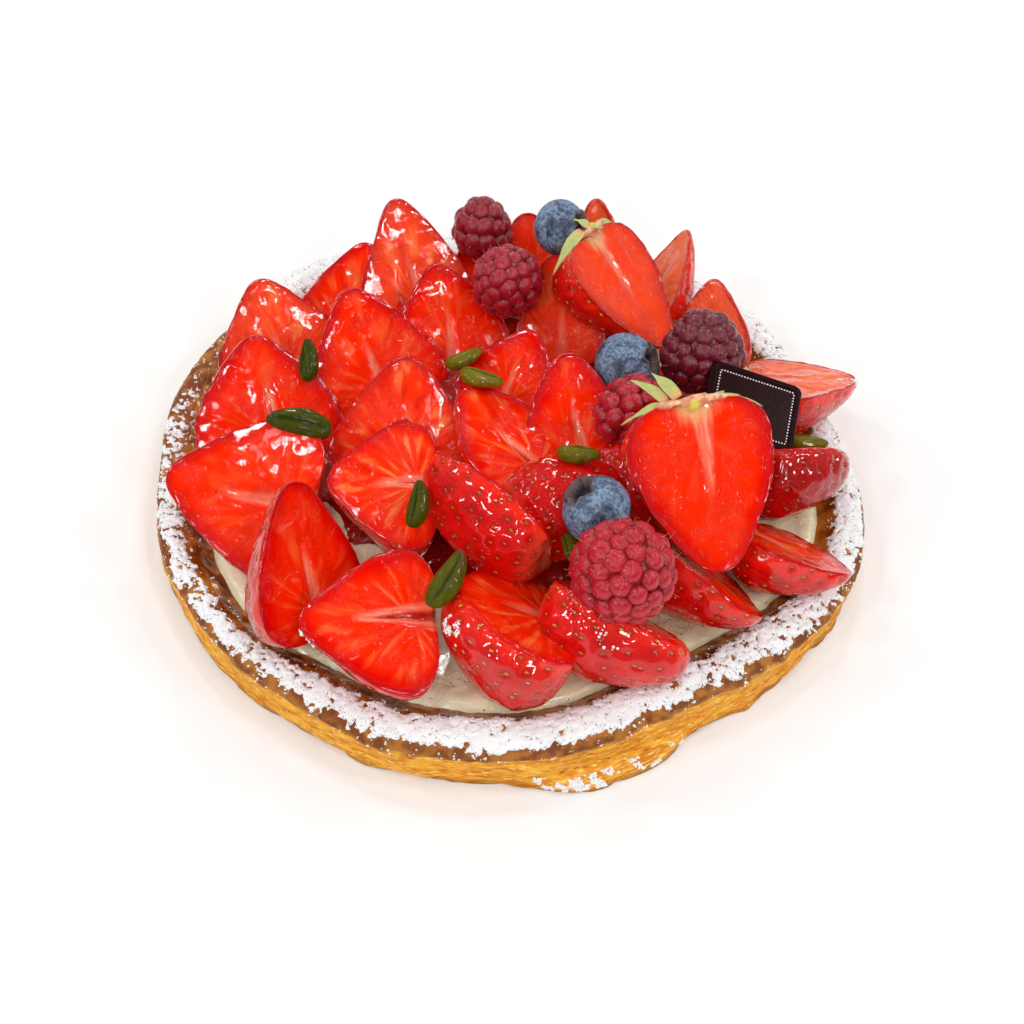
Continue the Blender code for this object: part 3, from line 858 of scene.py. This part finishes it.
def make_leaves():
    material = new_finish("sepal_green", roughness=0.5, subsurface_weight=0.15, subsurface_scale=0.001)
    share = value_of("share")
    green = blended(mottle(1.5, 3), (146, 164, 74), (206, 208, 134))
    colour = painted(green, (step_up(share, 0.3, 0.0), (226, 170, 112)),
                     (times(step_up(share, 0.8, 1.0), 0.5), (196, 160, 92)))
    feed(base_color=colour, normal=bumped(mottle(0.6, 2), 0.15))
    shares = np.tile(np.repeat(np.linspace(0, 1, SEPAL_STATIONS), SEPAL_SIDES), len(SEPALS))
    add_piece("strawberry_sepals", *joined(make_sepal(*sepal) for sepal in SEPALS), material,
              "strawberry_flesh", values={"share": shares})


def make_collars():
    ball = ball_mesh(24, 36)
    frames = []
    for middle, facing, half_width, half_depth in COLLARS:
        turned = lying(unit(facing), np.cross(unit(facing), (0, 0, 1)))
        frames.append((middle, turned @ np.diag([half_width, half_depth, COLLAR_THICKNESS / 2])))
    points, faces = many(ball, frames)
    points = points + 0.7 * lumps(points, 1.5, 71)[:, None] * (0.3, 0.5, 1)
    material = new_finish("calyx_collar", roughness=0.4, subsurface_weight=0.2, subsurface_scale=0.001)
    torn = step_up(mottle(1.6, 3, 0.6), 0.38, 0.66)
    feed(base_color=blended(torn, (222, 134, 102), (246, 206, 156)), normal=bumped(mottle(0.8, 2), 0.3))
    add_piece("strawberry_collars", points, faces, material, "strawberry_flesh")
    stub = np.diag([1, 0.8, 1.2])
    points, faces = many(ball, [(middle, stub * size) for middle, size in STEM_STUBS])
    points = points + 0.25 * lumps(points, 1, 72)[:, None]
    material = new_finish("stem_stub", roughness=0.45)
    feed(base_color=blended(mottle(1), (206, 176, 30), (240, 222, 110)))
    add_piece("strawberry_stubs", points, faces, material, "strawberry_flesh")


make_leaves()
make_collars()

# --------------------------------------
# The raspberries: whole, stood on their hulled ends or lying. Each is a cup of round drupelets
# with a velvet bloom, and a fine hair, the dried style, stands on many of them.
# --------------------------------------
# Middle (x, y, z), heading of the tip, lean of the tip, length, width, and how dark it is
RASPBERRIES = [
    (24, -58, 38, 200, 55, 21.5, 22, 0), (27, -10, 36, 200, 10, 18, 18.5, 0.1),
    (45, 12, 38, 100, 65, 21, 20.5, 1), (-5, 34, 38, 250, 40, 19, 18.5, 0.35),
    (-13, 59, 36, 80, 75, 17, 16.5, 0.6),
]
DRUPELET_SPACING = 4.05
RASPBERRY_TAPER = 0.18
HAIRED = 0.75  # how many of the drupelets have a hair, as a share
HAIR_STATIONS = 5
HAIR_SIDES = 4
HAIR_WIDTH = 0.09
hair_roots = []  # the root, direction and length of every hair


def make_raspberry_finish():
    material = new_finish("raspberry_skin", specular_ior_level=0.5, subsurface_weight=0.25,
                          subsurface_scale=0.0015, sheen_weight=0.1, sheen_roughness=0.35,
                          sheen_tint=paint(255, 170, 175))
    bright = blended(mottle(2.5, 2), (158, 0, 18), (206, 28, 48))
    deep = blended(mottle(2.5, 2), (84, 8, 26), (128, 28, 48))
    # The bases of the drupelets, where they meet, are painted darker: painted shade in the seams between
    # them
    colour = painted(bright, (value_of("dark"), deep), (times(value_of("seam"), 0.7), (84, 0, 12)))
    feed(base_color=colour, roughness=scaled(mottle(1.2, 2), 0.24, 0.12),
         normal=bumped(mottle(0.5, 2), 0.06))
    return material


def make_raspberry(number, material, x, y, z, heading, lean, length, width, dark):
    chance = np.random.default_rng(300 + number)
    rotation = np.array(turned_to(heading, lean))
    ball, ball_faces = ball_mesh(8, 12)
    frames, seams = [], []
    rows = round(1.45 * length / DRUPELET_SPACING)
    drupelet = DRUPELET_SPACING / 2
    for row in range(rows):
        polar = math.pi * (0.02 + 0.93 * row / (rows - 1))
        swell = math.sin(polar) * (1 - RASPBERRY_TAPER * math.cos(polar))
        count = max(1, round(math.tau * swell * (width / 2 - drupelet * 0.6) / DRUPELET_SPACING))
        for step in range(count):
            around = math.tau * (step + 0.5 * (row % 2)) / count + chance.normal(0, 0.04)
            tilt = polar + chance.normal(0, 0.025)
            on_ball = ball_points([tilt], [around])[0]
            outward = unit(on_ball * (width / length, 1, 1))
            inset = drupelet * chance.uniform(0.78, 0.9)
            swell_here = 1 - RASPBERRY_TAPER * math.cos(tilt)
            half_width = swell_here * (width / 2 - inset)
            place = on_ball * (length / 2 - inset, half_width, half_width)
            size = drupelet * chance.uniform(1.08, 1.34)
            sizes = np.diag([chance.uniform(0.95, 1.1), chance.uniform(1.0, 1.15), 0.85]) * size
            turned = lying(outward, np.array([1.0, 0.02, 0.01])) @ sizes
            frames.append((rotation @ place + (x, y, z), rotation @ turned))
            if chance.uniform() < HAIRED:
                root = rotation @ (place + outward * size * 0.9) + (x, y, z)
                hair_roots.append((root, rotation @ outward, chance.uniform(0.7, 1.6)))
            # how far down towards the seam between drupelets a point lies, for their painted shade
            seams.append(np.clip(0.75 - ball[:, 2], 0, 1))
    core = ball * (length / 2 - 1.2, width / 2 - 1.4, width / 2 - 1.4) @ rotation.T + (x, y, z)
    points, faces = joined([many((ball, ball_faces), frames), (core, ball_faces)])
    values = {"dark": np.full(len(points), dark), "seam": np.concatenate([*seams, np.ones(len(core))])}
    add_piece(f"raspberry_whole_{number}", points, faces, material, "raspberry_skin",
              [f"raspberry_{number}"], values)


def make_hairs():
    """Thin bent tubes, from the root out."""
    chance = np.random.default_rng(8)
    tubes = []
    for root, outward, length in hair_roots:
        bend = np.cross(outward, chance.normal(0, 1, 3))
        first = unit(np.cross(outward, (0.3, 0.5, 0.8)))
        second = np.cross(outward, first)
        points = []
        for share in np.linspace(0, 1, HAIR_STATIONS):
            centre = root + outward * length * share + bend * 0.45 * length * share**2
            radius = HAIR_WIDTH / 2 * (1 - 0.6 * share)
            for side in range(HAIR_SIDES):
                turn = math.tau * side / HAIR_SIDES
                points.append(centre + radius * (math.cos(turn) * second + math.sin(turn) * first))
        tubes.append((np.array(points), tube_faces(HAIR_STATIONS, HAIR_SIDES)))
    material = new_finish("dried_style", roughness=0.5)
    feed(base_color=blended(mottle(1.5), (196, 120, 96), (240, 200, 170)))
    add_piece("raspberry_hairs", *joined(tubes), material, "raspberry_skin")


make_each(make_raspberry, RASPBERRIES, make_raspberry_finish())
make_hairs()

# --------------------------------------
# The blueberries: whole, dark blue under a pale wax bloom that is rubbed off in places. The crown
# at the blossom end is a ring of five short lobes round a dark hollow.
# --------------------------------------
# Middle (x, y, z), heading of the crown, lean of the crown, width
BLUEBERRIES = [
    (19, -42, 38, 170, 50, 15.2), (26, 7, 36, -10, 30, 16.2), (8, 49, 45, -20, 25, 14.6),
]
BLUEBERRY_RINGS = 64
BLUEBERRY_SEGMENTS = 80
BLUEBERRY_FLATNESS = 0.92
CROWN_LOBES = 5
CROWN_DEPTH = 0.26
CROWN_ANGLE = math.radians(27)


def make_blueberry_finish():
    material = new_finish("blueberry_skin", specular_ior_level=0.35)
    crown = value_of("crown")
    wax = blended(step_up(mottle(0.8, 4, 0.65), 0.3, 0.7), (54, 76, 106), (144, 166, 192))
    bare = blended(mottle(3, 3), (20, 26, 48), (46, 58, 86))
    rubbed = step_up(mottle(5, 5, 0.65, 0.6), 0.42, 0.66)
    colour = painted(wax, (rubbed, bare), (step_up(crown, 0.1, 0.6), (92, 74, 70)),
                     (step_up(crown, 0.6, 0.95), (14, 12, 26)))
    feed(base_color=colour, roughness=scaled(rubbed, -0.2, 0.55), normal=bumped(mottle(0.6, 3), 0.08))
    return material


def placed(middle, rotation):
    return Matrix.LocRotScale(Vector(middle) * MM, rotation, None)


def make_blueberry(number, material, x, y, z, heading, lean, width):
    polar, around = ball_grid(BLUEBERRY_RINGS, BLUEBERRY_SEGMENTS)
    polar = polar**1.15 / math.pi**0.15
    ball = ball_points(polar, around)
    lobed = 0.13 * np.cos(CROWN_LOBES * around + number) + 0.05 * np.cos(11 * around)
    lobes = CROWN_ANGLE * (1 + lobed)
    rim = np.exp(-(((polar - lobes) / 0.075) ** 2))
    sunk = eased(0.0, -0.16, polar - lobes)
    radius = 1 + 0.018 * lumps(ball, 0.6, 60 + number) + 0.1 * rim - CROWN_DEPTH * sunk
    points = ball * radius[:, None] * (BLUEBERRY_FLATNESS, 1, 1) * width / 2
    add_piece(f"blueberry_whole_{number}", points, turned_faces(BLUEBERRY_RINGS, BLUEBERRY_SEGMENTS),
              material, "blueberry_skin", [f"blueberry_{number}"],
              {"crown": np.clip(0.45 * rim + sunk, 0, 1)}, placed((x, y, z), turned_to(heading, lean)))


make_each(make_blueberry, BLUEBERRIES, make_blueberry_finish())

# --------------------------------------
# The pistachio kernels: peeled and whole, green to olive, with the seam between the two halves
# running lengthwise and fine wrinkles beside it.
# --------------------------------------
# Middle (x, y, z), heading, lean, length, turn of the seam about the axis, and how yellow it is
PISTACHIOS = [
    (-52, 5, 32, 95, 30, 11, 40, 0.1), (-50, -18, 33, 175, 5, 15.5, 60, 0.15),
    (-20, -40, 33, 85, 30, 10.8, 70, 0.2), (-11.5, -60, 33, 62, 25, 13.6, 100, 0.35),
    (-14, 12, 30, 25, 15, 10, 50, 0.7), (-9, 2, 33, -15, 0, 11, 80, 0.8),
    (15, -24, 36, -5, 5, 10, 60, 0.6), (14, -44, 28, 110, 10, 9, 40, 0.5), (72, -5, 26, 0, 0, 10, 60, 0.7),
]
KERNEL_RINGS = 30
KERNEL_SEGMENTS = 40
KERNEL_HALF_WIDTH = 0.215  # as a share of its length
KERNEL_SEAM_DEPTH = 0.24


def make_kernel_finish():
    material = new_finish("pistachio_kernel", roughness=0.18, specular_ior_level=0.12)
    streaks = mottle(0.9, 3, 0.6, at=stretched(0.25, 1, 1))
    green = blended(streaks, (10, 24, 0), (54, 72, 4))
    olive = blended(streaks, (70, 74, 2), (160, 142, 22))
    skin = step_up(mottle(4, 3), 0.58, 0.68)
    # The seam groove is painted dark green: painted shade in the groove
    colour = painted(green, (value_of("yellow"), olive), (times(skin, 0.6), (84, 50, 30)),
                     (value_of("seam"), (18, 26, 2)))
    feed(base_color=colour)
    glaze_over(0.3)
    return material


def make_kernel(number, material, x, y, z, heading, lean, length, turn, yellow):
    polar, around = ball_grid(KERNEL_RINGS, KERNEL_SEGMENTS)
    along = np.cos(polar)
    fat = KERNEL_HALF_WIDTH * (1 - 0.2 * along) * np.abs(np.sin(polar)) ** 0.8
    off_seam = np.abs((around - math.radians(turn) + math.pi) % math.tau - math.pi)
    seam = np.exp(-((off_seam / 0.16) ** 2)) * np.sin(polar)
    ball = ball_points(polar, around)
    uneven = 0.1 * lumps(ball, 0.7, 80 + number) + 0.03 * lumps(ball, 0.25, 90 + number)
    radius = fat * (1 - KERNEL_SEAM_DEPTH * seam + uneven)
    bend = 0.06 * (along**2 - 0.5)
    side, up = radius * np.cos(around) + bend, radius * 0.9 * np.sin(around)
    points = np.column_stack([along / 2, side, up]) * length
    values = {"seam": 0.8 * seam, "yellow": np.full(len(points), yellow)}
    add_piece(f"pistachio_kernel_{number}", points, turned_faces(KERNEL_RINGS, KERNEL_SEGMENTS),
              material, "pistachio_kernel", [f"pistachio_{number}"], values,
              placed((x, y, z), turned_to(heading, lean)))


make_each(make_kernel, PISTACHIOS, make_kernel_finish())

# --------------------------------------
# The chocolate plaque: a small slab of dark chocolate cast in a mould with bevelled edges, stuck
# upright in the fruit. Its face has a dotted border printed in white cocoa butter.
# --------------------------------------
PLAQUE_MIDDLE = (56, -4, 35)
PLAQUE_WIDTH = 24
PLAQUE_HEIGHT = 18
PLAQUE_THICKNESS = 3.5
PLAQUE_HEADING = -2
PLAQUE_LEAN = -16
PLAQUE_TURN = 26
PLAQUE_CORNER = 2.2
PLAQUE_BEVEL = 1.1
BORDER_INSET = 2.3
DOT_SPACING = 0.75
DOT_SIZE = 0.2
DOT_THICKNESS = 0.07
FACE_DEPTH = 0.2  # how far the face lies below its frame
PLAQUE_PLACE = placed(PLAQUE_MIDDLE, turned_to(PLAQUE_HEADING, PLAQUE_LEAN, PLAQUE_TURN))


def rounded_rectangle(width, height, corner, steps):
    """Points round a rectangle with round corners, in X and Y."""
    points = []
    for quarter, (side, up) in enumerate([(1, 1), (-1, 1), (-1, -1), (1, -1)]):
        for step in range(steps):
            angle = (quarter + step / (steps - 1)) * math.pi / 2
            points.append((side * (width / 2 - corner) + corner * math.cos(angle),
                           up * (height / 2 - corner) + corner * math.sin(angle)))
    return np.array(points)


def make_plaque():
    """The slab, from the middle of its sunk face over the rounded edges to the middle of its back."""
    half = PLAQUE_THICKNESS / 2
    sunk = half - FACE_DEPTH
    layers = [(PLAQUE_BEVEL + 1.1, sunk), (PLAQUE_BEVEL + 0.8, sunk), (PLAQUE_BEVEL + 0.4, half)]
    for angle in np.linspace(0, math.pi / 2, 7):
        layers.append((PLAQUE_BEVEL * (1 - math.sin(angle)), half - PLAQUE_BEVEL * (1 - math.cos(angle))))
    layers += [(inset, -height) for inset, height in reversed(layers[3:])]
    rings = []
    for inset, height in layers:
        corner = max(0.4, PLAQUE_CORNER - inset)
        ring = rounded_rectangle(PLAQUE_WIDTH - 2 * inset, PLAQUE_HEIGHT - 2 * inset, corner, 10)
        rings.append(np.column_stack([ring, np.full(len(ring), height)]))
    points = np.vstack([[(0, 0, layers[0][1])], *rings, [(0, 0, layers[-1][1])]])
    material = new_finish("dark_chocolate", specular_ior_level=0.05)
    feed(base_color=blended(mottle(5, 4), (26, 5, 8), (42, 14, 16)),
         roughness=scaled(mottle(1.5, 3), 0.15, 0.18), normal=bumped(mottle(0.8, 2), 0.03))
    faces = [face[::-1] for face in turned_faces(len(rings), len(rings[0]))]
    add_piece("plaque_slab", points, faces, material, "dark_chocolate", ["chocolate_plaque"],
              matrix=PLAQUE_PLACE)


def make_print():
    """Flat white dots along the border."""
    border = rounded_rectangle(PLAQUE_WIDTH - 2 * BORDER_INSET, PLAQUE_HEIGHT - 2 * BORDER_INSET, 0.6, 5)
    path, _ = even_path(np.vstack([border, border[:1]]), DOT_SPACING, 0)
    dot = np.diag([DOT_SIZE, DOT_SIZE, DOT_THICKNESS])
    level = PLAQUE_THICKNESS / 2 - FACE_DEPTH + 0.02
    frames = [((across, up, level), dot) for across, up in path[:-1]]
    material = new_finish("white_print", roughness=0.5)
    feed(base_color=blended(mottle(2), (236, 230, 226), (255, 253, 250)))
    add_piece("plaque_print", *many(ball_mesh(5, 8), frames), material, "dark_chocolate",
              matrix=PLAQUE_PLACE)


make_plaque()
make_print()

# --------------------------------------
# The icing sugar: shaken over the rim after baking. It lies thick at the front, the right and the
# back, thins to clots at the left, and leaves one stretch of brown crust bare.
# --------------------------------------
# Direction, inner and outer radius before the case left the round, and how thickly it lies
SUGAR_COVER = [
    (0, 81.2, 89.7, 1.0), (45, 81, 89.5, 1.0), (90, 81, 89.5, 0.85), (125, 81, 90.5, 0.95),
    (142, 81, 90.5, 0.9), (153, 83, 89, 0.2), (163, 85, 87, -0.6), (174, 84.5, 88, -0.2),
    (182, 84, 90, 0.45), (205, 83.5, 89.5, 0.5), (230, 82.8, 88.8, 0.75), (250, 81.8, 88.8, 0.95),
    (270, 80.6, 88.8, 1.2), (292, 80.6, 88.8, 1.1), (305, 81, 89, 0.75), (332, 81, 89.3, 0.9),
]
SUGAR_SEGMENTS = 1560
SUGAR_ROWS = 42
COAT_CLIMB = (10.6, 23.5)
GRAINS = 4200
# Sugar that slid down to the foot of the wall: how far up the wall, in which directions, how many
SPILL_CLIMB = (1.0, 3.6)
SPILL_REACH = (276, 299)
SPILLED = 2400
# Sugar on fruit: strawberry, middle of the clot (x, y, z), its reach and most grains
SUGARED_FRUIT = [
    (3, -10, -69, 27.5, 3.2, 260), (7, 20.5, -70, 30, 2.3, 130), (7, 24.5, -72, 28, 2.2, 110),
    (4, -40, -71, 22, 3.4, 200), (14, 86, 22, 22.5, 3.5, 60),
]


def sugar_amount(climb, angle):
    """How thickly the sugar lies, in millimetres; below 0 there is none."""
    directions, inner, outer, thick = np.array(SUGAR_COVER, float).T
    degrees = np.degrees(angle) % 360
    radius = np.interp(climb, CASE_STOPS, CASE_PATH[:, 0])
    inner, outer, thick = (
        np.interp(degrees, directions, row, period=360) for row in (inner, outer, thick)
    )
    at = case_point(climb, angle)
    inside = np.minimum(radius - inner, outer - radius) + 0.9 * lumps(at, 3.4, 41)
    clots = 0.25 * lumps(at, 2.6, 42) + 0.7 * lumps(at, 1.3, 43) + 0.95 * lumps(at, 0.75, 44)
    amount = (0.6 + thick) * eased(-1.0, 1.4, inside) - 0.85 + clots
    height = 0.2 + 0.36 * np.minimum(amount, 1.1) + 0.12 * lumps(at, 0.7, 47)
    return np.where(amount > 0, height, np.minimum(amount, 0))


def make_sugar_finish():
    material = new_finish("icing_sugar", roughness=0.8)
    white = blended(mottle(1.2, 3), (249, 253, 254), (255, 255, 255))
    thin = step_up(value_of("cover"), 0.62, 0.26)
    pit = step_up(mottle(0.5, 2, 0.6), 0.56, 0.64)
    colour = blended(times(times(pit, thin), 0.8), white, (110, 60, 24))
    feed(base_color=colour, normal=bumped(mottle(0.35, 3), 0.25))
    return material


def make_coat(material):
    """The sugar where it lies closed: the surface of the rim raised by its thickness."""
    climb, angle = grid_round(np.linspace(*COAT_CLIMB, SUGAR_ROWS), SUGAR_SEGMENTS)
    amount = sugar_amount(climb, angle)
    points = case_point(climb, angle, crust_relief(climb, angle) + np.clip(amount, -0.25, 2))
    index = np.arange(len(points)).reshape(SUGAR_ROWS, SUGAR_SEGMENTS)
    after = np.roll(index, -1, axis=1)
    quads = np.stack([index[:-1], after[:-1], after[1:], index[1:]], 2).reshape(-1, 4)
    used, kept = np.unique(quads[(amount[quads] > 0).any(axis=1)], return_inverse=True)
    add_piece("sugar_coat", points[used], kept.reshape(-1, 4).tolist(), material, "baked_pastry",
              values={"cover": amount[used]})


def add_grains(name, material, frames):
    points, faces = many(ball_mesh(2, 5), frames)
    add_piece(name, points, faces, material, "baked_pastry", values={"cover": np.ones(len(points))})


def make_grains(material):
    """Loose grains at the edges of the coat, and sugar that slid to the foot of the wall."""
    chance = np.random.default_rng(77)
    climb = chance.uniform(9.5, 24, GRAINS * 4)
    angle = chance.uniform(0, math.tau, GRAINS * 4)
    amount = sugar_amount(climb, angle)
    near = np.flatnonzero(np.abs(amount) < 0.55)[:GRAINS]
    climb, angle, amount = climb[near], angle[near], amount[near]
    middles = case_point(climb, angle, crust_relief(climb, angle) + np.maximum(amount, 0) + 0.08)
    sizes = 0.09 + 0.2 * chance.uniform(0, 1, len(near)) ** 2
    climb, angle = chance.uniform(*zip(SPILL_CLIMB, SPILL_REACH), (SPILLED, 2)).T
    low = case_point(climb, np.radians(angle), crust_relief(climb, np.radians(angle)) + 0.1)
    low = low[lumps(low, 1.5, 45) > 0.1]
    sizes = np.concatenate([sizes, chance.uniform(0.12, 0.36, len(low))])
    add_grains("sugar_grains", material, [
        (middle, np.eye(3) * size) for middle, size in zip(np.vstack([middles, low]), sizes)
    ])


def make_crumbs(material):
    """Clots of sugar that fell on the fruit nearest the rim: round grains in small heaps."""
    chance = np.random.default_rng(78)
    frames = []
    for number, x, y, z, spread, count in SUGARED_FRUIT:
        vertices = bpy.data.objects[f"strawberry_piece_{number:02d}"].data.vertices
        places, outward = np.empty(len(vertices) * 3), np.empty(len(vertices) * 3)
        vertices.foreach_get("co", places)
        vertices.foreach_get("normal", outward)
        places, outward = places.reshape(-1, 3) / MM, outward.reshape(-1, 3)
        near = np.linalg.norm(places - (x, y, z), axis=1) < spread
        near = np.flatnonzero(near & (lumps(places, 1.5, 46) > 0.05))
        for spot in chance.choice(near, min(count, len(near)), replace=False):
            size = chance.uniform(0.2, 0.42)
            middle = places[spot] + outward[spot] * 0.1 + chance.normal(0, 0.12, 3)
            frames.append((middle, np.eye(3) * size))
    add_grains("sugar_crumbs", material, frames)


def make_sugar():
    material = make_sugar_finish()
    make_coat(material)
    make_grains(material)
    make_crumbs(material)


make_sugar()

# --------------------------------------
# The studio: a plain white floor, a ceiling of small bright lamps that make the glints on the
# glaze, and the camera above the front of the tart.
# --------------------------------------
FLOOR_REACH = 4  # metres from the middle to its edge
CAMERA_DISTANCE = 291
CAMERA_HEIGHT_ANGLE = math.radians(49.4)
CAMERA_ROLL = math.radians(4.25)
CAMERA_AIM = Vector((0.9, -12, 0))
FILM_WIDTH = 36
CAMERA_FOCUS = 1126 / 1024  # focal length as a share of the film's width
# The lamps hang a metre from the tart, each further round and higher than the one before:
# directions in degrees, heights as shares of the way up
LAMPS = 24
LAMP_SIZE = 0.09
LAMP_POWER = 0.61
LAMP_FALL = 0.14  # how much weaker a lamp is for each metre that it hangs further back
LOWEST_LAMP = 0.3
HIGHEST_LAMP = 0.97
FIRST_LAMP = 94
LAMP_STEP = 137.5
WORLD_LIGHT = 0.2


def make_floor():
    mesh = bpy.data.meshes.new("floor")
    corners = np.array([(-1, -1, 0), (1, -1, 0), (1, 1, 0), (-1, 1, 0)]) * FLOOR_REACH
    mesh.from_pydata(corners.tolist(), [], [(0, 1, 2, 3)])
    material = new_finish("white_floor", roughness=0.9)
    feed(base_color=blended(mottle(200), (246, 246, 246), (250, 250, 250)))
    mesh.materials.append(material)
    floor = bpy.data.objects.new("floor", mesh)
    bpy.context.scene.collection.objects.link(floor)


def add_lamp(name, place):
    """A square soft light at a place in metres, facing the tart."""
    light = bpy.data.lights.new(name, "AREA")
    light.size = LAMP_SIZE
    light.energy = LAMP_POWER - LAMP_FALL * place.y
    lamp = bpy.data.objects.new(name, light)
    lamp.location = place
    lamp.rotation_euler = (-place).to_track_quat("-Z", "Y").to_euler()
    bpy.context.scene.collection.objects.link(lamp)


def make_studio():
    world = bpy.data.worlds.new("soft_room")
    world.use_nodes = True
    world.node_tree.nodes["Background"].inputs["Color"].default_value = (1, 1, 1, 1)
    world.node_tree.nodes["Background"].inputs["Strength"].default_value = WORLD_LIGHT
    bpy.context.scene.world = world
    for number in range(LAMPS):
        height = LOWEST_LAMP + (HIGHEST_LAMP - LOWEST_LAMP) * (number + 0.5) / LAMPS
        direction = math.radians(LAMP_STEP * number + FIRST_LAMP)
        reach = math.sqrt(1 - height**2)
        place = Vector((reach * math.cos(direction), reach * math.sin(direction), height))
        add_lamp(f"ceiling_lamp_{number + 1}", place)
    bpy.context.scene.view_settings.view_transform = "Standard"


def make_camera():
    forward = Vector((0, math.cos(CAMERA_HEIGHT_ANGLE), -math.sin(CAMERA_HEIGHT_ANGLE)))
    level = Vector((1, 0, 0))
    upward = level.cross(forward)
    right = level * math.cos(CAMERA_ROLL) + upward * math.sin(CAMERA_ROLL)
    up = upward * math.cos(CAMERA_ROLL) - level * math.sin(CAMERA_ROLL)
    lens = bpy.data.cameras.new("camera")
    lens.sensor_width = FILM_WIDTH
    lens.lens = CAMERA_FOCUS * FILM_WIDTH
    lens.clip_start = 0.01
    camera = bpy.data.objects.new("camera", lens)
    matrix = Matrix((right, up, -forward)).transposed().to_4x4()
    matrix.translation = (CAMERA_AIM - forward * CAMERA_DISTANCE) * MM
    camera.matrix_world = matrix
    bpy.context.scene.collection.objects.link(camera)
    bpy.context.scene.camera = camera


make_floor()
make_studio()
make_camera()
